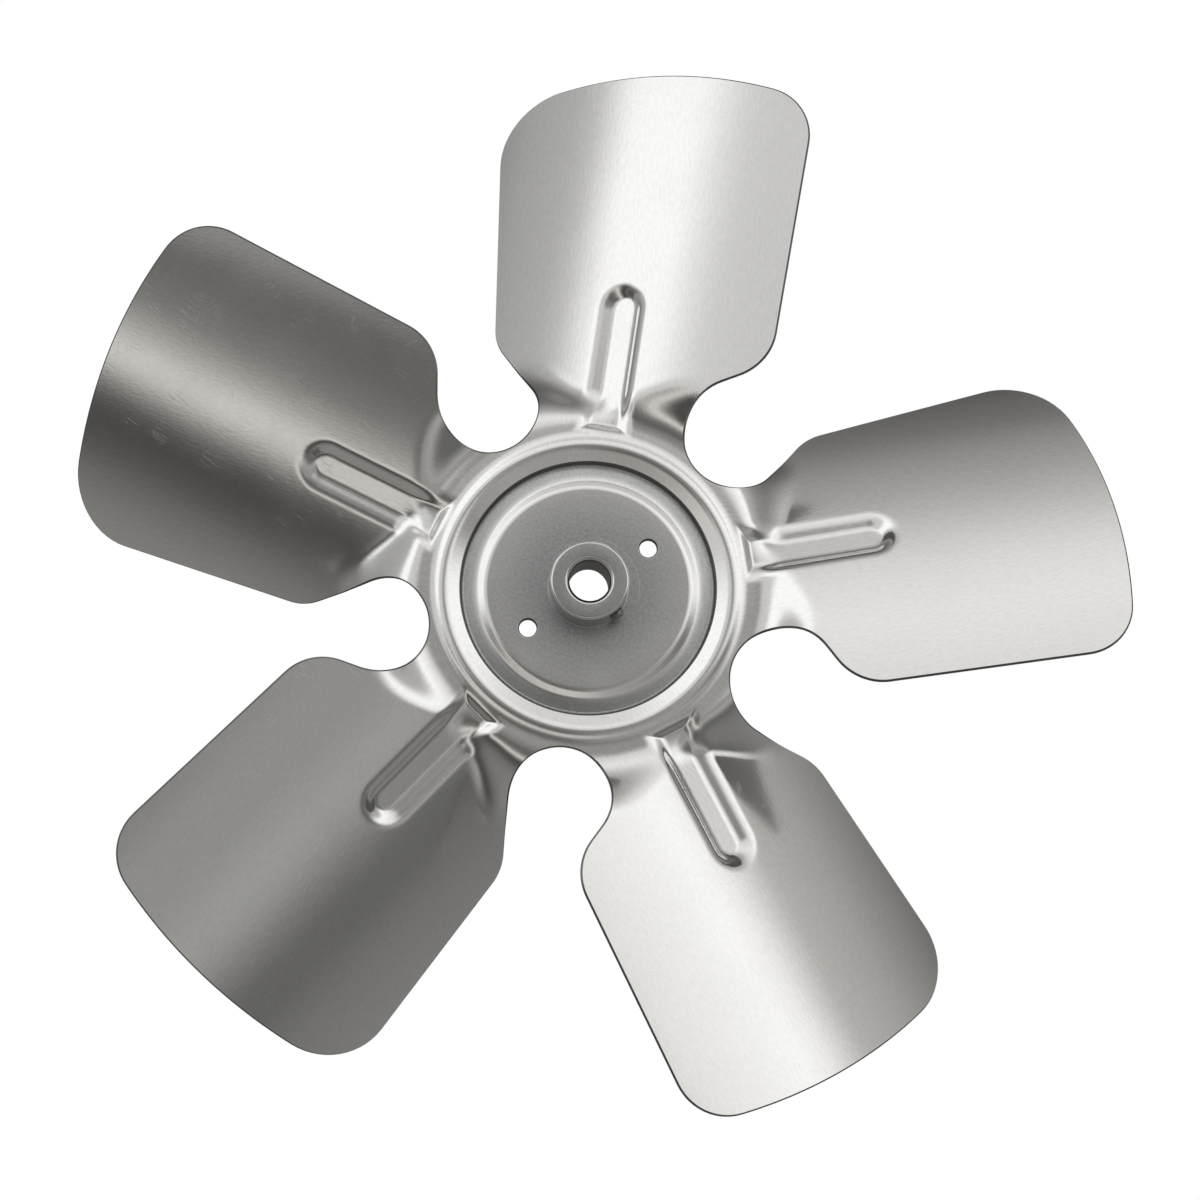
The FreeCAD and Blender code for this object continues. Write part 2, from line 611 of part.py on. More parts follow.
def make_screw():
    body = new_body("set_screw")
    pin = body.newObject("PartDesign::Pad", "ScrewPin")
    pin.Profile = circle_sketch(body, "ScrewCircle", "XY_Plane", None, None, "Sizes.screw_radius")
    pin.setExpression("Length", "Sizes.screw_length")
    doc.recompute()
    ends = body.newObject("PartDesign::Chamfer", "ScrewEnds")
    ends.Base = (pin, circular_edges(pin.Shape, sizes.screw_radius, 0.0)
                 + circular_edges(pin.Shape, sizes.screw_radius, sizes.screw_length))
    ends.setExpression("Size", "Sizes.screw_edge_chamfer")
    doc.recompute()
    hexagon = body.newObject("Sketcher::SketchObject", "SocketHexagon")
    attach(hexagon, body, "XY_Plane")
    hexagon.setExpression("AttachmentOffset.Base.z", "Sizes.screw_length")
    points = [FreeCAD.Vector(math.cos(math.radians(60 * i)), math.sin(math.radians(60 * i)), 0)
              for i in range(6)]
    for i in range(6):
        hexagon.addGeometry(Part.LineSegment(points[i], points[(i + 1) % 6]), False)
    for i in range(6):
        hexagon.addConstraint(Sketcher.Constraint("Coincident", i, 2, (i + 1) % 6, 1))
    for i in range(6):
        corner = math.radians(60 * i)
        across = "%.9f * Sizes.socket_flats" % (math.cos(corner) / math.sqrt(3))
        along = "%.9f * Sizes.socket_flats" % (math.sin(corner) / math.sqrt(3))
        place_point(hexagon, i, 1, across, along if i % 3 else None)
    socket = body.newObject("PartDesign::Pocket", "Socket")
    socket.Profile = hexagon
    socket.Type = "Length"
    socket.setExpression("Length", "Sizes.socket_depth")
    doc.recompute()
    turn = screw_turn()
    inner = sizes.bush_radius + sizes.screw_stand - sizes.screw_length
    along_radius = FreeCAD.Rotation(FreeCAD.Vector(0, 0, 1), FreeCAD.Vector(0, 1, 0))
    start = turn.multVec(FreeCAD.Vector(0, inner, sizes.screw_height))
    body.Placement = FreeCAD.Placement(start, turn.multiply(along_radius))
    return body


def check_document(parts):
    """Every object has to be sound, and every sub-part one valid solid."""
    for item in doc.Objects:
        if "Invalid" in item.State or "Error" in item.State:
            raise RuntimeError("failed object: %s %s" % (item.Name, item.State))
    for part in parts:
        shape = part.Shape
        if shape.isNull() or not shape.isValid() or len(shape.Solids) != 1:
            raise RuntimeError("bad shape: %s with %d solids" % (part.Label, len(shape.Solids)))


parts = [make_spider(), make_plate(), make_bush(), make_screw()]
doc.recompute()
check_document(parts)
os.makedirs("parts", exist_ok=True)
for part in parts:
    part.Shape.exportStep("parts/%s.step" % part.Label)
    box = part.Shape.BoundBox
    print("%-13s volume %9.1f mm3  z %.2f to %.2f" % (part.Label, part.Shape.Volume, box.ZMin, box.ZMax))
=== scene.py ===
import math

import bmesh
import bpy
import numpy as np
from mathutils import Matrix, Vector


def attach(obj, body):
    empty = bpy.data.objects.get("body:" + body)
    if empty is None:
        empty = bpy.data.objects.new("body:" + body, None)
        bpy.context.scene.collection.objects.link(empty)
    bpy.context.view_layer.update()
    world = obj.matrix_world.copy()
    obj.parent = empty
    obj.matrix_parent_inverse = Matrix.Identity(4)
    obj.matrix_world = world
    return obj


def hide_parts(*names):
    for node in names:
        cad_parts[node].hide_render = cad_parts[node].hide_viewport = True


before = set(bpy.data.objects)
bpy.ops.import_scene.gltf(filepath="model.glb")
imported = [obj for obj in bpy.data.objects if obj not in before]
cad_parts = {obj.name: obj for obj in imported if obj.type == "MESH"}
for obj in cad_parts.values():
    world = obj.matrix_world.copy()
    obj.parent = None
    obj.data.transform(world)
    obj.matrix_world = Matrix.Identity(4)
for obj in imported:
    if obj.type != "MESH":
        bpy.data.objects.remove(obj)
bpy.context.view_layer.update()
print("stage: frame loaded")

# Sizes in millimetres and degrees; meshes are scaled to metres when they are made

sheet = {
    "blades": 5,
    "tipRadius": 126.8,
    "gauge": 1.2,
    "openingRadius": 30.0,
    "openingHeight": 0.8,
    "lipWidth": 4.1,
    "lipRise": 2.0,
    "fallWidth": 2.5,
    "fall": 1.3,
    "webWidth": 1.6,
    "crestSoftness": 1.3,  # height over which the lip and the fall melt together
    "rootSoftness": 0.5,
    "notchRadius": 11.9,
    "notchShare": 0.608,  # shares are parts of one blade's sector, clockwise of its axis
    "rootCornerReach": 18.4,
    "rootCornerRadius": 12.7,
    "rootLeadShare": 0.378,
    "rootTrailShare": 0.111,
    "tipLeadRadius": 12.7,
    "tipTrailRadius": 15.5,
    "tipLeadShare": 0.282,
    "tipTrailShare": 0.040,
    "ribBlendLength": 10.0,
    "leadBlendLength": 23.0,
    "trailBlendLength": 17.0,
    "blendReach": 24.0,
    "pitch": 29.3,
    "camberRadius": 130.0,
    "ribDrop": 1.5,
    "rootGap": 0.6,  # from the notches' inner ends to where the blend starts
    "edgeRound": 0.34,  # how far in, and how far down, the sheared edges are rounded
    "edgeDrop": 0.42,
    "patternStep": 400.0,  # distance between two blades on the grain's map
}

rib = {
    "lean": 8.6,
    "offset": 2.1,
    "end": 74.2,
    "floorWidth": 6.0,
    "wallWidth": 2.9,
    "depth": 1.8,
    "rampStart": 37.2,
    "rampLength": 2.2,
    "rampLift": 0.25,
    "rampShift": 0.25,  # the bead's ramp starts earlier by this share of its depth below the front
    "outerSoftness": 0.85,  # heights over which the pressed edges are rounded
    "innerSoftness": 0.30,
}

millimetre = 0.001
sector = 360.0 / sheet["blades"]
rootHeight = sheet["openingHeight"] + sheet["lipRise"] - sheet["fall"]
crestRadius = sheet["openingRadius"] + sheet["lipWidth"]
fallRadius = crestRadius + sheet["fallWidth"]
notchInner = fallRadius + sheet["webWidth"]
notchCentre = notchInner + sheet["notchRadius"]
blendStart = notchInner + sheet["rootGap"]
lean = math.radians(rib["lean"])


def softMin(first, second, width):
    # The smaller of two heights, with the corner where they cross rounded over the width
    share = np.clip(0.5 + 0.5 * (second - first) / width, 0.0, 1.0)
    return second * (1 - share) + first * share - width * share * (1 - share)


def softMax(first, second, width):
    # The larger of two heights, rounded in the same way
    return -softMin(-first, -second, width)


def smoothRise(share):
    # From 0 to 1 with level ends: 6 * share^5 - 15 * share^4 + 10 * share^3
    share = np.clip(share, 0.0, 1.0)
    return share**3 * (share * (6 * share - 15) + 10)


def ringHeight(radius):
    # Lip up to the crest, then the fall to the flat root, all as rounded ramps over the radius
    lip = sheet["openingHeight"] + (radius - sheet["openingRadius"]) * sheet["lipRise"] / sheet["lipWidth"]
    crest = sheet["openingHeight"] + sheet["lipRise"]
    fall = crest - (radius - crestRadius) * sheet["fall"] / sheet["fallWidth"]
    return softMin(lip, softMax(fall, rootHeight + 0 * fall, sheet["rootSoftness"]), sheet["crestSoftness"])


def bladeHeight(across):
    # Arc of the camber circle, square to the rib; beyond its steep ends it runs on as a tangent
    steepest = 0.9  # sine of the slope there
    centreSine = math.sin(math.radians(sheet["pitch"]))
    sine = centreSine - across / sheet["camberRadius"]
    held = np.clip(sine, -steepest, steepest)
    root = np.sqrt(1 - held**2)
    height = sheet["camberRadius"] * (root - math.cos(math.radians(sheet["pitch"])))
    return rootHeight - sheet["ribDrop"] + height + (held - sine) * sheet["camberRadius"] * held / root


def acrossRib(east, north):
    # Distance from the rib's line, seen from the front, positive on its trailing side
    return east * math.cos(lean) - north * math.sin(lean) + rib["offset"]


def alongRib(east, north):
    # Distance from the bore's axis along the rib's line
    return east * math.sin(lean) + north * math.cos(lean)


def sheetHeight(east, north):
    # Height of the sheet's front over the plane, ring and blade blended over the stretch
    radius = np.hypot(east, north)
    across = acrossRib(east, north)
    sideways = smoothRise(np.abs(across) / sheet["blendReach"])
    longest = np.where(across > 0, sheet["trailBlendLength"], sheet["leadBlendLength"])
    stretch = sheet["ribBlendLength"] + (longest - sheet["ribBlendLength"]) * sideways
    share = smoothRise((radius - blendStart) / stretch)
    return ringHeight(radius) * (1 - share) + bladeHeight(across) * share


def sheetNormal(east, north):
    # Unit vector square to the sheet: (-slope east, -slope north, 1), brought to length 1
    step = 0.02
    slopeEast = (sheetHeight(east + step, north) - sheetHeight(east - step, north)) / (2 * step)
    slopeNorth = (sheetHeight(east, north + step) - sheetHeight(east, north - step)) / (2 * step)
    normal = np.stack([-slopeEast, -slopeNorth, np.ones_like(slopeEast)], axis=-1)
    return normal / np.linalg.norm(normal, axis=-1, keepdims=True)


def pressRib(points, floorHalf, top):
    # Moves points square to the rib down to its floor and walls, where they lie above them. The floor
    # is flat across, it follows the sheet's height and slope along the rib's line, a ramp leads into
    # it and half a cone of wall closes it: level = wall slope * (distance - half floor) - depth.
    east, north, height = np.moveaxis(points, -1, 0)
    along = alongRib(east, north)
    roundCentre = rib["end"] - rib["floorWidth"] / 2 - rib["wallWidth"]
    held = np.minimum(along, roundCentre)
    centreEast = held * math.sin(lean) - rib["offset"] * math.cos(lean)
    centreNorth = held * math.cos(lean) + rib["offset"] * math.sin(lean)
    step = 0.5
    right = step * math.cos(lean), -step * math.sin(lean)
    slope = sheetHeight(centreEast + right[0], centreNorth + right[1])
    slope = (slope - sheetHeight(centreEast - right[0], centreNorth - right[1])) / (2 * step)
    cosine = 1 / np.sqrt(1 + slope**2)
    sine = slope * cosine
    across = acrossRib(east, north)
    above = height - sheetHeight(centreEast, centreNorth)
    sideways = across * cosine + above * sine
    level = above * cosine - across * sine
    reach = np.hypot(sideways, np.maximum(0.0, along - roundCentre))
    bottom = top - rib["depth"]
    wall = bottom + (reach - floorHalf) * rib["depth"] / rib["wallWidth"]
    start = rib["rampStart"] + rib["rampShift"] * top
    ramp = top + rib["rampLift"] - (rib["depth"] + rib["rampLift"]) * (along - start) / rib["rampLength"]
    floor = softMax(ramp, bottom + 0 * ramp, rib["innerSoftness"])
    gap = softMax(level - softMax(wall, floor, rib["innerSoftness"]), 0 * level, rib["outerSoftness"])
    outward = np.stack([-sine * math.cos(lean), sine * math.sin(lean), cosine], axis=-1)
    return points - outward * gap[..., None]


def polar(radius, share):
    # Point at a radius and a share of the sector, clockwise from the blade's axis
    angle = math.radians(share * sector)
    return np.array([radius * math.sin(angle), radius * math.cos(angle)])


def tangent(first, second, firstSide, secondSide):
    # Ends of the straight line that touches two circles, each on the side that its sign names
    gap = second[0] - first[0]
    length = np.linalg.norm(gap)
    ahead = gap / length
    left = np.array([-ahead[1], ahead[0]])
    sine = (firstSide * first[1] - secondSide * second[1]) / length
    along = ahead * math.sqrt(1 - sine**2) + left * sine
    normal = np.array([-along[1], along[0]])
    return first[0] - normal * firstSide * first[1], second[0] - normal * secondSide * second[1]


def arc(circle, start, end, count):
    # Points on a circle from one place to the other, the short way round
    first = math.atan2(*(start - circle[0])[::-1])
    last = math.atan2(*(end - circle[0])[::-1])
    turn = (last - first + math.pi) % (2 * math.pi) - math.pi
    angles = first + turn * np.linspace(0, 1, count)
    return circle[0] + circle[1] * np.stack([np.cos(angles), np.sin(angles)], axis=-1)


def line(start, end, count, power):
    # Points on a straight line; a power above 1 crowds them towards its start
    share = np.linspace(0, 1, count)[:, None] ** power
    return start + (end - start) * share


rows = {"lip": 8, "crest": 12, "web": 6, "notch": 44, "neck": 14, "corner": 18, "side": 34, "tip": 14}
columns = {"left": 13, "rib": 28, "right": 13}
ribZone = {"halfWidth": 7.6, "tipShare": 0.30, "fade": 30.0}  # the close columns spread past the rib's end


def sideOutline(lead, inset):
    # One side of a blade seen from the front: notch, neck, root corner, side and tip corner
    side = 1 if lead else -1
    notchShare = sheet["notchShare"] if lead else sheet["notchShare"] - 1
    rootShare = sheet["rootLeadShare"] if lead else -sheet["rootTrailShare"]
    tipShare = sheet["tipLeadShare"] if lead else -sheet["tipTrailShare"]
    tipRadius = sheet["tipLeadRadius"] if lead else sheet["tipTrailRadius"]
    notch = (polar(notchCentre, notchShare), sheet["notchRadius"] + inset)
    root = polar(notchCentre + sheet["rootCornerReach"], rootShare)
    room = 0.98 * (np.linalg.norm(root - notch[0]) - sheet["notchRadius"])  # leaves a short neck
    corner = (root, min(sheet["rootCornerRadius"], room) - inset)
    tip = (polar(sheet["tipRadius"] - tipRadius, tipShare), tipRadius - inset)
    bottom = notch[0] * (1 - notch[1] / np.linalg.norm(notch[0]))
    leave, meet = tangent(notch, corner, -side, side)
    depart, arrive = tangent(corner, tip, side, side)
    top = tip[0] * (1 + tip[1] / np.linalg.norm(tip[0]))
    runs = [
        arc(notch, bottom, leave, rows["notch"] + 1),
        line(leave, meet, rows["neck"] + 1, 1.0),
        arc(corner, meet, depart, rows["corner"] + 1),
        line(depart, arrive, rows["side"] + 1, 1.5),
        arc(tip, arrive, top, rows["tip"] + 1),
    ]
    return np.concatenate([runs[0]] + [run[1:] for run in runs[1:]])


def ringRadii(inset):
    # Radii of the ring's rows, close together over the crest
    bend = 1.5  # half the width of the crest's close rows
    parts = [
        np.linspace(sheet["openingRadius"] + inset, crestRadius - bend, rows["lip"] + 1),
        np.linspace(crestRadius - bend, crestRadius + bend, rows["crest"] + 1)[1:],
        np.linspace(crestRadius + bend, notchInner - inset, rows["web"] + 1)[1:-1],
    ]
    return np.concatenate(parts)


def sectorGrid(inset):
    # One blade's rows from the opening to the tip; its columns crowd round the rib's line.
    # East = radius * sine and north = radius * cosine of an angle between the two sides' angles.
    ring = ringRadii(inset)
    lead = sideOutline(True, inset)
    trail = sideOutline(False, inset)
    leadRadius = np.concatenate([ring, np.hypot(*lead.T)])
    trailRadius = np.concatenate([ring, np.hypot(*trail.T)])
    notchAngle = math.radians(sheet["notchShare"] * sector)
    leadAngle = np.concatenate([np.full(len(ring), notchAngle), np.arctan2(lead[:, 0], lead[:, 1])])
    trailAngle = np.concatenate([np.full(len(ring), notchAngle - math.radians(sector)),
                                 np.arctan2(trail[:, 0], trail[:, 1])])
    middle = (leadRadius + trailRadius) / 2
    along = np.sqrt(np.maximum(0.0, middle**2 - rib["offset"] ** 2))
    ribAngle = np.arctan2(along * math.sin(lean) - rib["offset"] * math.cos(lean),
                          along * math.cos(lean) + rib["offset"] * math.sin(lean))
    narrow = ribZone["halfWidth"] / middle
    wide = ribZone["tipShare"] * (leadAngle - trailAngle)
    beyond = smoothRise((middle - rib["end"]) / ribZone["fade"])
    half = narrow * (1 - beyond) + wide * beyond
    leftLine = np.linspace(0, 1, columns["left"] + 1)
    ribLine = np.linspace(-1, 1, columns["rib"] + 1)
    rightLine = np.linspace(0, 1, columns["right"] + 1)
    left = trailAngle[:, None] + (ribAngle - half - trailAngle)[:, None] * leftLine
    centre = ribAngle[:, None] + half[:, None] * ribLine
    right = (ribAngle + half)[:, None] + (leadAngle - ribAngle - half)[:, None] * rightLine
    angles = np.concatenate([left, centre[:, 1:], right[:, 1:]], axis=1)
    share = (angles - trailAngle[:, None]) / (leadAngle - trailAngle)[:, None]
    radii = trailRadius[:, None] * (1 - share) + leadRadius[:, None] * share
    return radii * np.sin(angles), radii * np.cos(angles)


def gridFaces(rowCount, columnCount):
    # Corners of the four-sided faces between the points of a grid
    index = np.arange(rowCount * columnCount).reshape(rowCount, columnCount)
    return np.stack([index[:-1, :-1], index[:-1, 1:], index[1:, 1:], index[1:, :-1]], axis=-1).reshape(-1, 4)


def rimOf(grid):
    # The open sides of a blade's grid: trailing side, leading side and tip
    start = len(ringRadii(0.0))
    trailing = grid[start:, 0][::-1]
    leading = grid[start:, -1]
    tip = grid[-1, :]
    return trailing, leading, tip


def sheetPatches():
    # One blade as surfaces: front, rear, the rounded rims between them and the opening's edge
    inset = sheet["edgeRound"]
    east, north = sectorGrid(inset)
    base = np.stack([east, north, sheetHeight(east, north)], axis=-1)
    normal = sheetNormal(east, north)
    wallAngle = math.atan2(rib["depth"], rib["wallWidth"])
    floorHalf = rib["floorWidth"] / 2
    beadHalf = floorHalf + sheet["gauge"] * math.tan(wallAngle / 2)
    front = pressRib(base, floorHalf, 0.0)
    rear = pressRib(base - normal * sheet["gauge"], beadHalf, -sheet["gauge"])
    outerEast, outerNorth = sectorGrid(0.0)
    outerBase = np.stack([outerEast, outerNorth, sheetHeight(outerEast, outerNorth)], axis=-1)
    outerNormal = sheetNormal(outerEast, outerNorth)
    upper = outerBase - outerNormal * sheet["edgeDrop"]
    lower = outerBase - outerNormal * (sheet["gauge"] - sheet["edgeDrop"])
    patches = [front, rear]
    layers = [front, upper, lower, rear]
    for part in range(3):
        patches.append(np.stack([rimOf(layer)[part] for layer in layers]))
    patches.append(np.stack([layer[0] for layer in layers]))
    return patches


def meshFrom(name, grids, places=None, dropped=(), sharpAngle=38.0):
    # One closed mesh from grids of points; dropped spans of a grid leave room for a hole. Doubles are
    # merged and the faces turned outwards. Places are two maps side by side, place and edge.
    corners = []
    count = 0
    for number, grid in enumerate(grids):
        keep = np.ones((grid.shape[0] - 1, grid.shape[1] - 1), dtype=bool)
        for which, rowSpan, columnSpan in dropped:
            if which == number:
                keep[rowSpan[0]:rowSpan[1], columnSpan[0]:columnSpan[1]] = False
        corners.append(gridFaces(*grid.shape[:2])[keep.ravel()] + count)
        count += grid.shape[0] * grid.shape[1]
    points = np.concatenate([grid.reshape(-1, 3) for grid in grids]) * millimetre
    corners = np.concatenate(corners)
    mesh = bpy.data.meshes.new(name)
    mesh.from_pydata(points.tolist(), [], corners.tolist())
    if places is not None:
        spots = np.concatenate(places)[corners.ravel()].astype(np.float32)
        for label, column in (("place", slice(0, 2)), ("edge", slice(2, 4))):
            mesh.uv_layers.new(name=label)
            mesh.uv_layers[label].data.foreach_set("uv", spots[:, column].ravel())
    build = bmesh.new()
    build.from_mesh(mesh)
    bmesh.ops.remove_doubles(build, verts=build.verts, dist=2e-7)
    bmesh.ops.recalc_face_normals(build, faces=build.faces)
    openEdges = sum(len(edge.link_faces) != 2 for edge in build.edges)
    build.to_mesh(mesh)
    build.free()
    mesh.shade_smooth()
    mesh.set_sharp_from_angle(angle=math.radians(sharpAngle))
    made = bpy.data.objects.new(name, mesh)
    bpy.context.scene.collection.objects.link(made)
    print("stage:", name, "made with", len(mesh.polygons), "faces and", openEdges, "open edges")
    return made


def turnAbout(points, degrees):
    # Points turned about the bore's axis, anticlockwise seen from the front
    angle = math.radians(degrees)
    cosine, sine = math.cos(angle), math.sin(angle)
    return points @ np.array([[cosine, sine, 0], [-sine, cosine, 0], [0, 0, 1]])


def makeSheet():
    # One blade's patches, turned about the bore for each blade. The place map stays the blade's own, in
    # metres; the edge map is 1 on the cut edges and 0 on the skins.
    grids = []
    places = []
    patches = sheetPatches()
    for step in range(sheet["blades"]):
        for number, patch in enumerate(patches):
            flat = patch.reshape(-1, 3)
            grids.append(turnAbout(flat, step * sector).reshape(patch.shape))
            place = (flat[:, :2] + [sheet["patternStep"] * step, 0]) * millimetre
            places.append(np.c_[place, np.full((len(flat), 2), float(number > 1))])
    return meshFrom("bladeSheet", grids, places)


bladeSheet = makeSheet()
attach(bladeSheet, "root")
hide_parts("blade_spider")


plate = {
    "gauge": 1.6,
    "flatRadius": 24.2,
    "shoulderWidth": 2.0,
    "shoulderDrop": 1.1,
    "rimDrop": 1.6,
    "rimRadius": 29.4,
    "flangeStart": 30.2,
    "flangeEnd": 32.8,
    "seatGap": 0.04,
    "bendRound": 2.8,
    "seatRound": 0.25,
    "flangeRound": 0.2,
    "edgeRound": 0.1,
    "underRound": 0.3,
    "rearRound": 0.7,
    "rearShift": 0.3,  # share of the gauge by which the rear's bends stand off
    "bushGap": 0.03,
    "holeRadius": 2.07,
    "holeCircle": 17.1,
    "holeAngle": 33.8,
    "holeEdge": 0.4,
    "turns": 240,  # columns of the whole turn
    "patchReach": 4.2,  # half of the patch round a hole, outwards
    "patchColumns": 12,  # and half of it round the turn
}

bush = {
    "boreRadius": 4.7625,
    "mouthChamfer": 0.75,
    "radius": 9.25,
    "height": 12.1,
    "edgeChamfer": 0.45,
    "collarRadius": 9.65,
    "collarHeight": 0.4,
    "spigotRadius": 7.5,
    "stakeHeight": 1.2,
    "stakeSpread": 0.8,
    "rearChamfer": 0.4,
    "lowerRounds": [0.2, 0.05, 0.05, 0.05, 0.08, 0.1, 0.12],  # from the staked end to the wall
    "upperRounds": [0.6, 0.6, 0.6, 0.6],  # outer chamfer, then the bore's mouth
    "turns": 120,
    "patchReach": 3.1,
    "patchColumns": 14,
}

screw = {
    "radius": 2.0,
    "fit": 0.04,
    "length": 5.0,
    "stand": 1.3,
    "height": 5.2,
    "angle": -47.0,
    "chamfer": 0.35,
    "pitch": 0.7,
    "threadDepth": 0.3,
    "threadSlope": 1.6,  # of the flanks
    "threadCrest": 0.3,  # how much of the wave the crest cuts off
    "socketFlats": 2.0,
    "socketDepth": 1.8,
    "drillDepth": 0.4,
    "turns": 48,
    "rows": 80,
}

patchRows = 13  # rows of a patch round a hole


def roundedChain(corners, radii, steps=5):
    # A line through the corners, with each inner corner rounded to its radius
    corners = np.asarray(corners, dtype=float)
    points = [corners[:1]]
    for before, corner, after, radius in zip(corners, corners[1:], corners[2:], radii):
        back = (before - corner) / np.linalg.norm(before - corner)
        ahead = (after - corner) / np.linalg.norm(after - corner)
        half = math.acos(np.clip(back @ ahead, -1, 1)) / 2
        reach = radius / math.tan(half)
        toCentre = (back + ahead) / np.linalg.norm(back + ahead) * radius / math.sin(half)
        points.append(arc((corner + toCentre, radius), corner + back * reach, corner + ahead * reach, steps))
    points.append(corners[-1:])
    return np.concatenate(points)


def lathe(profile, turns, start):
    # The profile turned about the bore: x = radius * cosine, y = radius * sine, z = height
    angles = math.radians(start) + np.linspace(0, 2 * math.pi, turns + 1)
    radius = profile[:, :1]
    return np.stack([radius * np.cos(angles), radius * np.sin(angles), profile[:, 1:] + 0 * angles], axis=-1)


def borderOf(grid, rowSpan, columnSpan):
    # The closed line of points round a span of a grid
    (low, high), (first, last) = rowSpan, columnSpan
    sides = [grid[low, first:last], grid[low:high, last], grid[high, last:first:-1], grid[high:low:-1, first]]
    border = np.concatenate(sides)
    return np.concatenate([border, border[:1]])


def ringsBetween(inner, outer, count=6):
    # Straight steps from one line of points to another
    share = np.linspace(0, 1, count + 1)[:, None, None]
    return inner * (1 - share) + outer * share


def makePlate():
    # The plate as one turned profile, with a patch and a wall for each small hole
    slope = sheet["lipRise"] / sheet["lipWidth"]
    stretch = math.hypot(1, slope)
    seat = sheet["openingHeight"] - (sheet["gauge"] + plate["seatGap"]) * stretch
    leanIn = plate["rearShift"] * plate["gauge"]
    shoulder = plate["flatRadius"] + plate["shoulderWidth"]
    start = plate["flangeStart"] - sheet["openingRadius"]
    end = plate["flangeEnd"] - sheet["openingRadius"]
    innerEdge = bush["spigotRadius"] + plate["bushGap"]
    reach = plate["holeCircle"] + np.linspace(-plate["patchReach"], plate["patchReach"], patchRows)
    front = roundedChain(
        [(reach[-1], 0), (plate["flatRadius"], 0), (shoulder, -plate["shoulderDrop"]),
         (plate["rimRadius"], -plate["rimDrop"]), (plate["flangeStart"], seat + start * slope),
         (plate["flangeEnd"], seat + end * slope),
         (plate["flangeEnd"], seat + end * slope - plate["gauge"] * stretch),
         (plate["rimRadius"] + leanIn, -plate["rimDrop"] - plate["gauge"]),
         (shoulder - leanIn, -plate["shoulderDrop"] - plate["gauge"]),
         (plate["flatRadius"] - leanIn, -plate["gauge"]), (reach[-1], -plate["gauge"])],
        [plate["bendRound"], plate["bendRound"], plate["seatRound"], plate["flangeRound"], plate["edgeRound"],
         plate["edgeRound"], plate["underRound"], plate["rearRound"], plate["rearRound"]], 10)
    top = np.stack([reach, 0 * reach], axis=-1)
    under = top[::-1] - [0, plate["gauge"]]
    profile = np.concatenate([[(innerEdge, 0)], top, front[1:-1], under, [(innerEdge, -plate["gauge"])],
                              [(innerEdge, 0)]])
    turns = plate["turns"]
    half = plate["patchColumns"]
    grid = lathe(profile, turns, plate["holeAngle"] - half * 360 / turns)
    topRows = (1, len(reach))
    underRows = (1 + len(reach) + len(front) - 2, 2 * len(reach) + len(front) - 2)
    grids = [grid]
    dropped = []
    for number in range(2):
        span = (number * turns // 2, number * turns // 2 + 2 * half)
        angle = math.radians(plate["holeAngle"] + 180 * number)
        centre = plate["holeCircle"] * np.array([math.cos(angle), math.sin(angle)])
        ends = ((topRows, 0.0, plate["holeEdge"]), (underRows, -plate["gauge"], 0.0))
        for rowSpan, height, widening in ends:
            dropped.append((0, rowSpan, span))
            border = borderOf(grid, rowSpan, span)
            offset = border[:, :2] - centre
            offset /= np.linalg.norm(offset, axis=1, keepdims=True)
            mouth = np.c_[centre + offset * (plate["holeRadius"] + widening), np.full(len(border), height)]
            grids.append(ringsBetween(mouth, border))
        edge = plate["holeEdge"]
        radius = plate["holeRadius"]
        wall = roundedChain([(radius + edge, 0), (radius, 0), (radius, -plate["gauge"])], [edge * 0.999])
        border = borderOf(grid, topRows, span)
        offset = border[:, :2] - centre
        offset /= np.linalg.norm(offset, axis=1, keepdims=True)
        grids.append(np.stack([np.c_[centre + offset * r, np.full(len(border), z)] for r, z in wall]))
    return meshFrom("hubPlate", grids, dropped=dropped, sharpAngle=42.0)


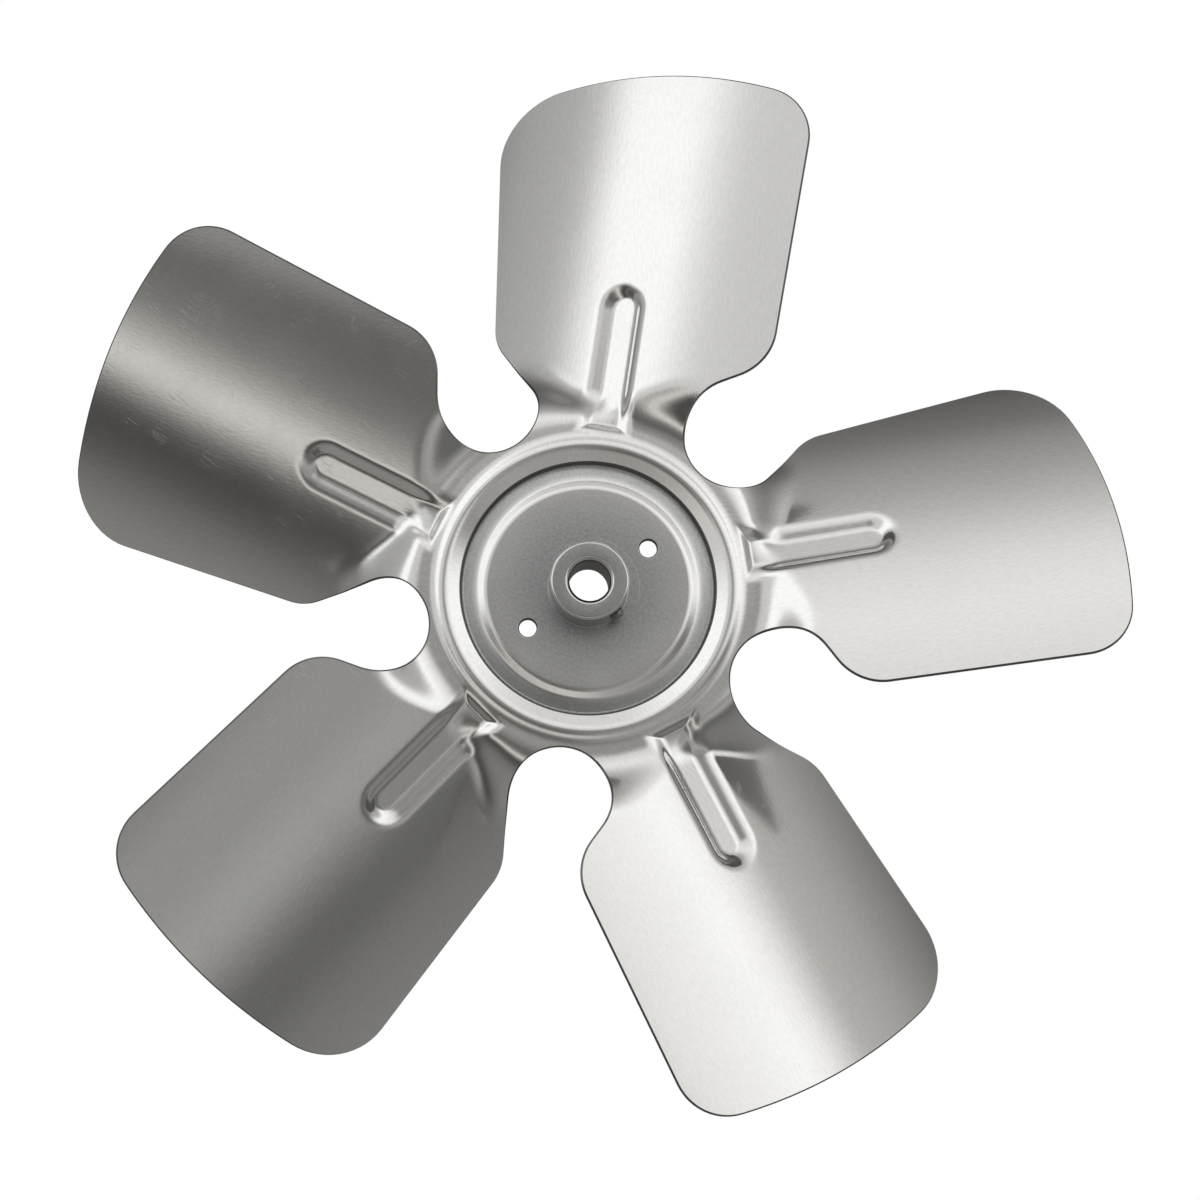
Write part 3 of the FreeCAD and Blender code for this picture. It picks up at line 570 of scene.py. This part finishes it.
def makeBush():
    # The bush as one turned profile, with a patch on each wall round the screw's hole
    rear = -plate["gauge"] - bush["stakeHeight"]
    stake = bush["spigotRadius"] + bush["stakeSpread"]
    reach = screw["height"] + np.linspace(-bush["patchReach"], bush["patchReach"], patchRows)
    outer = roundedChain(
        [(stake - bush["rearChamfer"], rear), (stake, -plate["gauge"] - bush["stakeHeight"] / 2),
         (stake, -plate["gauge"]), (bush["spigotRadius"], -plate["gauge"]), (bush["spigotRadius"], 0),
         (bush["collarRadius"], 0), (bush["collarRadius"], bush["collarHeight"]),
         (bush["radius"], bush["collarHeight"]), (bush["radius"], reach[0])],
        bush["lowerRounds"], 4)
    top = roundedChain(
        [(bush["radius"], reach[-1]), (bush["radius"], bush["height"] - bush["edgeChamfer"]),
         (bush["radius"] - bush["edgeChamfer"], bush["height"]),
         (bush["boreRadius"] + bush["mouthChamfer"], bush["height"]),
         (bush["boreRadius"], bush["height"] - bush["mouthChamfer"]), (bush["boreRadius"], reach[-1])],
        bush["upperRounds"], 7)
    lower = np.array([(bush["boreRadius"], rear + bush["rearChamfer"]),
                      (bush["boreRadius"] + bush["rearChamfer"], rear),
                      (stake - bush["rearChamfer"], rear)])
    outerWall = np.stack([np.full(len(reach), bush["radius"]), reach], axis=-1)
    innerWall = np.stack([np.full(len(reach), bush["boreRadius"]), reach[::-1]], axis=-1)
    profile = np.concatenate([outer[:-1], outerWall, top[1:-1], innerWall, lower])
    turns = bush["turns"]
    half = bush["patchColumns"]
    grid = lathe(profile, turns, screw["angle"] - half * 360 / turns)
    angle = math.radians(screw["angle"])
    outward = np.array([math.cos(angle), math.sin(angle), 0])
    sideways = np.array([-math.sin(angle), math.cos(angle), 0])
    radius = screw["radius"] + screw["fit"]
    outerRows = (len(outer) - 1, len(outer) - 2 + len(reach))
    innerRows = (outerRows[1] + len(top) - 1, outerRows[1] + len(top) - 2 + len(reach))
    grids = [grid]
    dropped = []
    mouths = []
    for rowSpan, wallRadius, flip in ((outerRows, bush["radius"], 1), (innerRows, bush["boreRadius"], -1)):
        dropped.append((0, rowSpan, (0, 2 * half)))
        border = borderOf(grid, rowSpan, (0, 2 * half))
        if flip < 0:
            border = border[::-1]
        turn = np.arctan2(border @ sideways, border @ outward)
        above = border[:, 2] - screw["height"]
        heading = np.arctan2(above / np.abs(above).max(), turn / np.abs(turn).max())
        mouthTurn = np.arcsin(radius * np.cos(heading) / wallRadius)
        mouth = np.stack([mouthTurn, radius * np.sin(heading)], axis=-1)
        chart = ringsBetween(mouth, np.stack([turn, above], axis=-1))
        patch = (wallRadius * (np.cos(chart[..., :1]) * outward + np.sin(chart[..., :1]) * sideways)
                 + (chart[..., 1:] + screw["height"]) * np.array([0, 0, 1.0]))
        grids.append(patch)
        order = np.argsort(heading[:-1])
        mouths.append(np.concatenate([patch[0][order], patch[0][order[:1]]]))
    grids.append(np.stack(mouths))
    return meshFrom("hubBush", grids, dropped=dropped, sharpAngle=30.0)


def makeScrew():
    # Radius = full radius - thread depth * a triangle wave of (distance / pitch - turn), cut short, with
    # a chamfer at both ends. The outer end runs in to the hexagon, down its walls and to a drill point.
    angle = math.radians(screw["angle"])
    outward = np.array([math.cos(angle), math.sin(angle), 0])
    sideways = np.array([-math.sin(angle), math.cos(angle), 0])
    upward = np.array([0, 0, 1.0])
    inner = bush["radius"] + screw["stand"] - screw["length"]
    turn = np.linspace(0, 2 * math.pi, screw["turns"] + 1)
    along = np.linspace(0, screw["length"], screw["rows"] + 1)[:, None]
    fromEnd = np.minimum(along, screw["length"] - along)
    wave = np.abs(((along / screw["pitch"] - turn / (2 * math.pi)) % 1.0) * 2 - 1)
    groove = screw["threadDepth"] * np.clip(screw["threadSlope"] * wave - screw["threadCrest"], 0, 1)
    radius = np.minimum(screw["radius"] - groove, screw["radius"] - screw["chamfer"] + fromEnd)

    def place(distance, across, above):
        spot = (inner + distance)[..., None] * outward + across[..., None] * sideways
        return spot + (above[..., None] + screw["height"]) * upward

    body = place(along + 0 * radius, radius * np.cos(turn), radius * np.sin(turn))
    facet = (turn + math.pi / 6) % (math.pi / 3) - math.pi / 6
    hexagon = screw["socketFlats"] / 2 / np.cos(facet)
    outerEnd = np.full(turn.shape, screw["length"])
    floorEnd = outerEnd - screw["socketDepth"]
    mouth = place(outerEnd, hexagon * np.cos(turn), hexagon * np.sin(turn))
    floor = place(floorEnd, hexagon * np.cos(turn), hexagon * np.sin(turn))
    drillPoint = place(floorEnd - screw["drillDepth"], 0 * turn, 0 * turn)
    rearCentre = place(0 * turn, 0 * turn, 0 * turn)
    grids = [body, ringsBetween(body[-1], mouth, 3), ringsBetween(mouth, floor, 2),
             ringsBetween(floor, drillPoint, 2), ringsBetween(rearCentre, body[0], 2)]
    return meshFrom("setScrew", grids, sharpAngle=35.0)


hubPlate = makePlate()
hubBush = makeBush()
setScrew = makeScrew()
for piece, node, slotName in ((hubPlate, "hub_plate", "hub_steel"), (hubBush, "hub_bush", "hub_steel"),
                              (setScrew, "set_screw", "screw_steel")):
    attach(piece, "root")
    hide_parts(node)


view = {
    "tilt": 9.0,  # degrees from the bore's axis
    "direction": 14.0,  # degrees, the side that the camera leans to
    "distance": 0.7065,
    "lens": 90.0,
    "shiftX": -0.00278,  # where the origin stands from the picture's middle
    "shiftY": 0.00280,
}


def viewAxes():
    # Right, up and toward of the camera, whose axis leans out of the bore's towards one side
    tilt = math.radians(view["tilt"])
    side = math.radians(view["direction"])
    ahead = Vector((math.sin(side), math.cos(side), 0))
    across = Vector((math.cos(side), -math.sin(side), 0))
    toward = Vector((0, 0, 1)) * math.cos(tilt) - ahead * math.sin(tilt)
    upright = ahead * math.cos(tilt) + Vector((0, 0, 1)) * math.sin(tilt)
    right = across * math.cos(side) + upright * math.sin(side)
    up = upright * math.cos(side) - across * math.sin(side)
    return right, up, toward


def placeCamera():
    # On its axis at the view's distance, moved so that the bore stands where the picture has it
    right, up, toward = viewAxes()
    place = toward * view["distance"] - right * view["shiftX"] - up * view["shiftY"]
    turn = Matrix((right, up, toward)).transposed()
    camera = bpy.data.objects.new("camera", bpy.data.cameras.new("camera"))
    camera.data.lens = view["lens"]
    camera.data.sensor_width = 36.0
    camera.matrix_world = Matrix.Translation(place) @ turn.to_4x4()
    bpy.context.scene.collection.objects.link(camera)
    bpy.context.scene.camera = camera


def addNode(tree, kind, inputs=None, **settings):
    # A node with its settings; an input is a value or another node's socket
    node = tree.nodes.new(kind)
    for name, value in settings.items():
        setattr(node, name, value)
    for name, value in (inputs or {}).items():
        if isinstance(value, bpy.types.NodeSocket):
            tree.links.new(value, node.inputs[name])
        else:
            node.inputs[name].default_value = value
    return node


def calculate(tree, operation, *values):
    # One sum on values or sockets
    return addNode(tree, "ShaderNodeMath", dict(enumerate(values)), operation=operation).outputs[0]


def blend(tree, share, first, second):
    # The first colour where the share is 0, the second where it is 1
    node = addNode(tree, "ShaderNodeMix", data_type="RGBA")
    for index, value in ((0, share), (6, first), (7, second)):
        if isinstance(value, bpy.types.NodeSocket):
            tree.links.new(value, node.inputs[index])
        else:
            node.inputs[index].default_value = value
    return node.outputs[2]


def fade(tree, value, low, high, bottom=0.0, top=1.0):
    # Smooth change from bottom to top, while the value goes from low to high
    inputs = {0: value, 1: low, 2: high, 3: bottom, 4: top}
    return addNode(tree, "ShaderNodeMapRange", inputs, interpolation_type="SMOOTHSTEP").outputs[0]


def noise(tree, place, scale, detail=2.0, rough=0.5):
    # Soft noise of about 0.5 in the middle, with so many bumps a metre
    inputs = {"Vector": place, "Scale": scale, "Detail": detail, "Roughness": rough}
    return addNode(tree, "ShaderNodeTexNoise", inputs).outputs[0]


def scaled(tree, place, factors):
    # A place stretched by one factor an axis
    return addNode(tree, "ShaderNodeVectorMath", {0: place, 1: factors}, operation="MULTIPLY").outputs[0]


# What the sheet mirrors: brightness against the angle from the camera's axis, towards five sides. All
# five start with the front stop and end with the rear stops.
panels = {
    "upperLeft": [(15, .26), (21, .50), (26, .58), (32, .58), (42, .62), (47, .78), (52, 1.0), (67, 1.0),
                  (71, .78), (76, .52), (82, .42), (95, .36), (108, .24)],
    "top": [(14, .25), (18, .29), (23, .48), (29, .66), (36, .70), (44, .76), (54, .80), (64, .74), (72, .62),
            (80, .47), (88, .36), (97, .27), (105, .17)],
    "upperRight": [(15, .30), (25, .55), (35, .80), (48, .89), (60, 1.0), (66, .88), (71, .65), (76, .45),
                   (90, .36), (98, .28), (108, .20)],
    "lowerRight": [(12, .22), (20, .28), (30, .28), (40, .34), (46, .30), (52, .20), (58, .13), (65, .125),
                   (75, .17), (85, .19), (100, .22)],
    "lowerLeft": [(12, .12), (20, .13), (28, .19), (34, .38), (39, .62), (43, .55), (47, .25), (51, .09),
                  (56, .06), (63, .09), (70, .15), (80, .21), (100, .24)],
}
frontStop = (0, .16)
rearStops = [(125, .07), (138, .08), (155, .11), (180, .12)]
# Where one side gives way to the next, in degrees anticlockwise from the right
seams = [("lowerLeft", -195, -165), ("lowerRight", -100, -60), ("upperRight", -10, 15), ("top", 40, 70),
         ("upperLeft", 95, 125), ("lowerLeft", 165, 195)]
tints = {
    "upperLeft": (1.0, 0.995, 0.985),
    "top": (1.0, 0.985, 0.960),
    "upperRight": (1.0, 0.980, 0.945),
    "lowerRight": (1.0, 0.990, 0.965),
    "lowerLeft": (1.0, 0.970, 0.920),
}


def makeWorld():
    # The panels as one colour ramp a side, blended round the camera's axis. Tints fade out towards
    # white. Camera rays see plain white.
    world = bpy.data.worlds.new("studio")
    world.use_nodes = True
    tree = world.node_tree
    tree.nodes.clear()
    ray = addNode(tree, "ShaderNodeTexCoord").outputs["Generated"]
    shares = [addNode(tree, "ShaderNodeVectorMath", {0: ray, 1: tuple(axis)}, operation="DOT_PRODUCT")
              for axis in viewAxes()]
    right, up, toward = [node.outputs["Value"] for node in shares]
    polarAngle = calculate(tree, "DIVIDE", calculate(tree, "ARCCOSINE", toward), math.pi)
    azimuth = calculate(tree, "DEGREES", calculate(tree, "ARCTAN2", up, right))
    ramps = {}
    for name, ownStops in panels.items():
        stops = [frontStop, *ownStops, *rearStops]
        node = addNode(tree, "ShaderNodeValToRGB", {0: polarAngle})
        node.color_ramp.interpolation = "LINEAR"
        while len(node.color_ramp.elements) < len(stops):
            node.color_ramp.elements.new(0.5)
        for element, stop in zip(node.color_ramp.elements, stops):
            element.position = stop[0] / 180
        for element, stop in zip(node.color_ramp.elements, stops):
            level = stop[1]
            tone = [level * (1 - (1 - tint) * min(1, 2 * (1 - level))) for tint in tints[name]]
            element.color = (*tone, 1)
        ramps[name] = node.outputs["Color"]
    colour = ramps["upperLeft"]
    for name, start, end in seams:
        colour = blend(tree, fade(tree, azimuth, start, end), colour, ramps[name])
    cameraRay = addNode(tree, "ShaderNodeLightPath").outputs["Is Camera Ray"]
    colour = blend(tree, cameraRay, colour, (1, 1, 1, 1))
    background = addNode(tree, "ShaderNodeBackground", {"Color": colour, "Strength": 1.0})
    addNode(tree, "ShaderNodeOutputWorld", {"Surface": background.outputs[0]})
    bpy.context.scene.world = world
    bpy.context.scene.view_settings.view_transform = "Standard"
    print("stage: world made")


def newGroup(name, inputs, outputs):
    # An empty shader group with its sockets, and the nodes of its two ends
    group = bpy.data.node_groups.new(name, "ShaderNodeTree")
    for label, kind in inputs:
        group.interface.new_socket(label, in_out="INPUT", socket_type=kind)
    for label, kind in outputs:
        group.interface.new_socket(label, in_out="OUTPUT", socket_type=kind)
    return group, group.nodes.new("NodeGroupInput"), group.nodes.new("NodeGroupOutput")


def makeGrain():
    # The rolled or blasted grain: noise stretched to the width and length, from -0.5 to 0.5
    group, given, made = newGroup(
        "grain", [("Place", "NodeSocketVector"), ("Width", "NodeSocketFloat"), ("Length", "NodeSocketFloat")],
        [("Height", "NodeSocketFloat")])
    perWidth = calculate(group, "DIVIDE", 1.0, given.outputs["Width"])
    perLength = calculate(group, "DIVIDE", 1.0, given.outputs["Length"])
    factors = addNode(group, "ShaderNodeCombineXYZ", {0: perWidth, 1: perLength, 2: perWidth}).outputs[0]
    place = scaled(group, given.outputs["Place"], factors)
    height = calculate(group, "SUBTRACT", noise(group, place, 1.0, 2.0, 0.6), 0.5)
    group.links.new(height, made.inputs["Height"])
    return group


wear = {
    "headings": ((0.35, 520.0, 50.0), (-0.9, 430.0, 42.0), (1.45, 470.0, 60.0)),  # turn, noise across, along
    "lineWidth": 0.012,
    "patches": (130.0, 0.57, 0.66),  # noise a metre, and where scratches start and are full
    "smudges": (45.0, 0.40, 0.68),
    "waves": 26.0,
}


def makeHandling():
    # Scratches are the thin lines where stretched noise crosses its middle, kept in patches; smudges and
    # the sheet's slight waves are wider noise
    group, given, made = newGroup(
        "handling", [("Place", "NodeSocketVector")],
        [("Scratches", "NodeSocketFloat"), ("Smudges", "NodeSocketFloat"), ("Waves", "NodeSocketFloat")])
    place = given.outputs["Place"]
    lines = []
    patches, patchStart, patchFull = wear["patches"]
    smudges, smudgeStart, smudgeFull = wear["smudges"]
    for number, (turn, across, along) in enumerate(wear["headings"]):
        turned = addNode(group, "ShaderNodeMapping", {
            "Vector": place, "Location": (0.13 * number, 0.07 * number, 0),
            "Rotation": (0, 0, turn)}).outputs[0]
        field = noise(group, scaled(group, turned, (across, along, across)), 1.0, 2.0)
        away = calculate(group, "ABSOLUTE", calculate(group, "SUBTRACT", field, 0.5))
        thin = fade(group, away, 0.0, wear["lineWidth"], 1.0, 0.0)
        sparse = fade(group, noise(group, turned, patches, 2.0), patchStart, patchFull)
        lines.append(calculate(group, "MULTIPLY", thin, sparse))
    both = calculate(group, "MAXIMUM", lines[0], lines[1])
    group.links.new(calculate(group, "MAXIMUM", both, lines[2]), made.inputs["Scratches"])
    smudge = fade(group, noise(group, place, smudges, 4.0, 0.6), smudgeStart, smudgeFull)
    group.links.new(smudge, made.inputs["Smudges"])
    group.links.new(noise(group, place, wear["waves"], 2.0, 0.35), made.inputs["Waves"])
    return group


def newMaterial(name):
    # A bare metal with nothing on its sockets yet
    material = bpy.data.materials.new(name)
    material.use_nodes = True
    tree = material.node_tree
    tree.nodes.clear()
    shader = addNode(tree, "ShaderNodeBsdfPrincipled", {"Metallic": 1.0})
    addNode(tree, "ShaderNodeOutputMaterial", {"Surface": shader.outputs[0]})
    return material, tree, shader


def useGroup(tree, group, **inputs):
    # A group's node with its inputs set, as its outputs
    node = addNode(tree, "ShaderNodeGroup", node_tree=group)
    for name, value in inputs.items():
        if isinstance(value, bpy.types.NodeSocket):
            tree.links.new(value, node.inputs[name])
        else:
            node.inputs[name].default_value = value
    return node.outputs


def bumped(tree, height):
    # The surface's normal, tilted by a height in metres
    return addNode(tree, "ShaderNodeBump", {"Height": height, "Distance": 1.0, "Strength": 1.0}).outputs[0]


aluminium = {
    "colour": (0.98, 0.975, 0.96),
    "shade": (0.90, 0.895, 0.885),
    "cutEdge": (0.28, 0.275, 0.265),
    "roughness": 0.11,
    "cutRoughness": 0.15,  # added on the cut edges
    "smudgeRoughness": 0.04,
    "grainWidth": 0.55,
    "grainLength": 1.9,
    "grainHeight": 0.010,
    "speckle": 2.2,  # how much the grain changes the shade
    "lightness": 0.6,  # share of the colour, against the shade, where nothing marks it
    "smudge": 0.12,
    "waveHeight": 0.16,
    "scratchDepth": 0.0045,
}


def makeAluminium(grain, handling):
    # Bright rolled sheet with dull, dark cut edges
    material, tree, shader = newMaterial("rolledAluminium")
    place = addNode(tree, "ShaderNodeUVMap", uv_map="place").outputs[0]
    edge = addNode(tree, "ShaderNodeUVMap", uv_map="edge").outputs[0]
    edge = addNode(tree, "ShaderNodeSeparateXYZ", {0: edge}).outputs[0]
    fine = useGroup(tree, grain, Place=place, Width=aluminium["grainWidth"] * millimetre,
                    Length=aluminium["grainLength"] * millimetre)["Height"]
    marks = useGroup(tree, handling, Place=place)
    height = calculate(tree, "MULTIPLY", fine, aluminium["grainHeight"] * millimetre)
    height = calculate(tree, "MULTIPLY_ADD", marks["Waves"], aluminium["waveHeight"] * millimetre, height)
    scratch = -aluminium["scratchDepth"] * millimetre
    height = calculate(tree, "MULTIPLY_ADD", marks["Scratches"], scratch, height)
    shade = calculate(tree, "MULTIPLY_ADD", fine, aluminium["speckle"], aluminium["lightness"])
    shade = calculate(tree, "MULTIPLY_ADD", marks["Smudges"], -aluminium["smudge"], shade)
    colour = blend(tree, shade, (*aluminium["shade"], 1), (*aluminium["colour"], 1))
    colour = blend(tree, edge, colour, (*aluminium["cutEdge"], 1))
    rough = calculate(tree, "MULTIPLY_ADD", marks["Smudges"], aluminium["smudgeRoughness"],
                      aluminium["roughness"])
    rough = calculate(tree, "MULTIPLY_ADD", edge, aluminium["cutRoughness"], rough)
    tree.links.new(colour, shader.inputs["Base Color"])
    tree.links.new(rough, shader.inputs["Roughness"])
    tree.links.new(bumped(tree, height), shader.inputs["Normal"])
    return material


plateSteel = {
    "colour": (0.62, 0.625, 0.63),
    "shade": (0.42, 0.425, 0.43),
    "roughness": 0.27,
    # Colour of the painted highlight, and of the rubbed arc on the plate
    "paintedShineAndRubColour": (0.96, 0.955, 0.94),
    # Roughness taken off where the painted highlight is
    "shineSmoothing": 0.12,  # how much smoother the shiny places are
    # Painted highlight: the disc grows brighter towards the shoulder, the bend is painted bright, the rim
    # less
    "discShine": 0.45,
    "discStart": 12.0,
    "bendFade": 1.2,  # width over which the bend starts to shine
    "rimStart": 0.4,  # the rim dulls from this far before the shoulder's end
    "rimFull": 1.6,  # and is dull from this far before its own
    "rimDulling": 0.75,
    # Painted shade: a dark colour in the gap under the sheet's lip, in the small holes and in the bore
    "paintedShadeColour": (0.05, 0.045, 0.04),
    "paintedShadeStrength": 0.85,
    "gapFade": (0.15, 0.45),  # distances out from the rim and from a hole's edge
    "holeFade": (0.15, 0.35),
    "rubRadius": 12.1,
    "rubShine": 0.35,
    "rubFade": (0.05, 0.20),
    "rubSpan": (0.55, 0.80),  # shares of its radius between which the rubbed arc starts
    "grain": 0.70,
    "grainHeight": 0.012,
    "speckle": 2.0,
    "lightness": 0.5,
    "smudge": 0.25,
    "smudgeRoughness": 0.08,
    "scratchDepth": 0.003,
}

# The bush's bore gets a lighter painted shade than the plate's gap and holes
bushSteel = dict(plateSteel, colour=(0.60, 0.605, 0.60), shade=(0.48, 0.485, 0.48), roughness=0.20,
                 grainHeight=0.004, scratchDepth=0.001, paintedShadeStrength=0.7, edgeFade=(0.2, 0.05),
                 boreFade=(0.02, 0.12))
screwSteel = dict(plateSteel, colour=(0.50, 0.50, 0.49), shade=(0.38, 0.38, 0.37), roughness=0.28)


def distanceOut(tree, place):
    # Distance from the bore's axis in millimetres
    parts = addNode(tree, "ShaderNodeSeparateXYZ", {0: place}).outputs
    east = calculate(tree, "MULTIPLY", parts[0], parts[0])
    square = calculate(tree, "MULTIPLY_ADD", parts[1], parts[1], east)
    return calculate(tree, "DIVIDE", calculate(tree, "SQRT", square), millimetre)


def plateShineAndShade(tree, place):
    # Painted highlight on the plate: brighter towards the shoulder, full on the bend and less on the rim; and
    # the arc that a tool rubbed.
    # Painted shade in the gap between its rim and the sheet's lip, and in the holes.
    out = distanceOut(tree, place)
    turned = addNode(tree, "ShaderNodeMapping", {
        "Vector": place, "Rotation": (0, 0, -math.radians(plate["holeAngle"])),
        "Scale": [1 / millimetre] * 3})
    parts = addNode(tree, "ShaderNodeSeparateXYZ", {0: turned.outputs[0]}).outputs
    past = calculate(tree, "SUBTRACT", calculate(tree, "ABSOLUTE", parts[0]), plate["holeCircle"])
    square = calculate(tree, "MULTIPLY_ADD", parts[1], parts[1], calculate(tree, "MULTIPLY", past, past))
    around = calculate(tree, "SQRT", square)
    # Painted shade in the small holes
    holeEdges = [plate["holeRadius"] + width for width in plateSteel["holeFade"]]
    hole = fade(tree, around, *holeEdges, plateSteel["paintedShadeStrength"], 0.0)
    # Painted highlight towards the shoulder and on the bend, less on the rim
    disc = fade(tree, out, plateSteel["discStart"], plate["flatRadius"], 0.0, plateSteel["discShine"])
    bend = fade(tree, out, plate["flatRadius"] - plateSteel["bendFade"], plate["flatRadius"])
    dullFrom = plate["flatRadius"] + plate["shoulderWidth"] - plateSteel["rimStart"]
    dullTo = plate["rimRadius"] - plateSteel["rimFull"]
    dull = fade(tree, out, dullFrom, dullTo, 0.0, plateSteel["rimDulling"])
    shine = calculate(tree, "SUBTRACT", calculate(tree, "MAXIMUM", disc, bend), dull)
    apart = calculate(tree, "ABSOLUTE", calculate(tree, "SUBTRACT", out, plateSteel["rubRadius"]))
    side = fade(tree, parts[0], *[plateSteel["rubRadius"] * share for share in plateSteel["rubSpan"]])
    arcShine = fade(tree, apart, *plateSteel["rubFade"], plateSteel["rubShine"], 0.0)
    rub = calculate(tree, "MULTIPLY", arcShine, side)
    # Painted shade in the gap between the rim and the sheet's lip
    gapEdges = [plate["rimRadius"] + width for width in plateSteel["gapFade"]]
    gap = fade(tree, out, *gapEdges, 0.0, plateSteel["paintedShadeStrength"])
    return calculate(tree, "ADD", shine, rub), calculate(tree, "MAXIMUM", gap, hole)


def bushShineAndShade(tree, place):
    # Painted highlight on the two chamfers at the bush's end: on each of them radius plus or minus height is
    # constant.
    # Painted shade on the bore's wall.
    out = distanceOut(tree, place)
    upright = addNode(tree, "ShaderNodeSeparateXYZ", {0: place}).outputs[2]
    height = calculate(tree, "DIVIDE", upright, millimetre)
    # Painted highlight on the outer chamfer and on the bore's mouth chamfer
    edge = bush["radius"] + bush["height"] - bush["edgeChamfer"]
    mouth = bush["height"] - bush["boreRadius"] - bush["mouthChamfer"]
    start, full = bushSteel["edgeFade"]
    outer = fade(tree, calculate(tree, "ADD", out, height), edge - start, edge - full)
    inner = fade(tree, calculate(tree, "SUBTRACT", height, out), mouth - start, mouth - full)
    # Painted shade on the bore's wall
    boreEdges = [bush["boreRadius"] + width for width in bushSteel["boreFade"]]
    dark = fade(tree, out, *boreEdges, bushSteel["paintedShadeStrength"], 0.0)
    return calculate(tree, "MAXIMUM", outer, inner), dark


def noShineOrShade(tree, place):
    # Neither painted shine nor painted shade
    return 0.0, 0.0


def makeSteel(grain, handling, name, values, shineAndShade):
    # Grey steel; the function passed in gives its painted shine, with any rubbed arc, and its painted shade,
    # each from 0 to 1, from the place
    material, tree, shader = newMaterial(name)
    place = addNode(tree, "ShaderNodeTexCoord").outputs["Object"]
    fine = useGroup(tree, grain, Place=place, Width=values["grain"] * millimetre,
                    Length=values["grain"] * millimetre)["Height"]
    marks = useGroup(tree, handling, Place=place)
    height = calculate(tree, "MULTIPLY", fine, values["grainHeight"] * millimetre)
    scratch = -values["scratchDepth"] * millimetre
    height = calculate(tree, "MULTIPLY_ADD", marks["Scratches"], scratch, height)
    shade = calculate(tree, "MULTIPLY_ADD", fine, values["speckle"], values["lightness"])
    shade = calculate(tree, "MULTIPLY_ADD", marks["Smudges"], -values["smudge"], shade)
    colour = blend(tree, shade, (*values["shade"], 1), (*values["colour"], 1))
    bright, paintedShade = shineAndShade(tree, place)
    # Painted highlight, then painted shade, blended into the colour
    colour = blend(tree, bright, colour, (*values["paintedShineAndRubColour"], 1))
    colour = blend(tree, paintedShade, colour, (*values["paintedShadeColour"], 1))
    tree.links.new(colour, shader.inputs["Base Color"])
    rough = calculate(tree, "MULTIPLY_ADD", marks["Smudges"], values["smudgeRoughness"], values["roughness"])
    rough = calculate(tree, "MULTIPLY_ADD", bright, -values["shineSmoothing"], rough)
    tree.links.new(rough, shader.inputs["Roughness"])
    tree.links.new(bumped(tree, height), shader.inputs["Normal"])
    return material


placeCamera()
makeWorld()
grain = makeGrain()
handling = makeHandling()
sheetMetal = makeAluminium(grain, handling)
plateMetal = makeSteel(grain, handling, "pressedSteel", plateSteel, plateShineAndShade)
bushMetal = makeSteel(grain, handling, "turnedSteel", bushSteel, bushShineAndShade)
screwMetal = makeSteel(grain, handling, "blackenedSteel", screwSteel, noShineOrShade)
looks = {"blade_spider": (bladeSheet, sheetMetal), "hub_plate": (hubPlate, plateMetal),
         "hub_bush": (hubBush, bushMetal), "set_screw": (setScrew, screwMetal)}
for name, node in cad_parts.items():
    piece, metal = looks[name]
    piece.data.materials.append(metal)
    node.data.materials.clear()
    node.data.materials.append(metal)
print("stage: materials assigned")
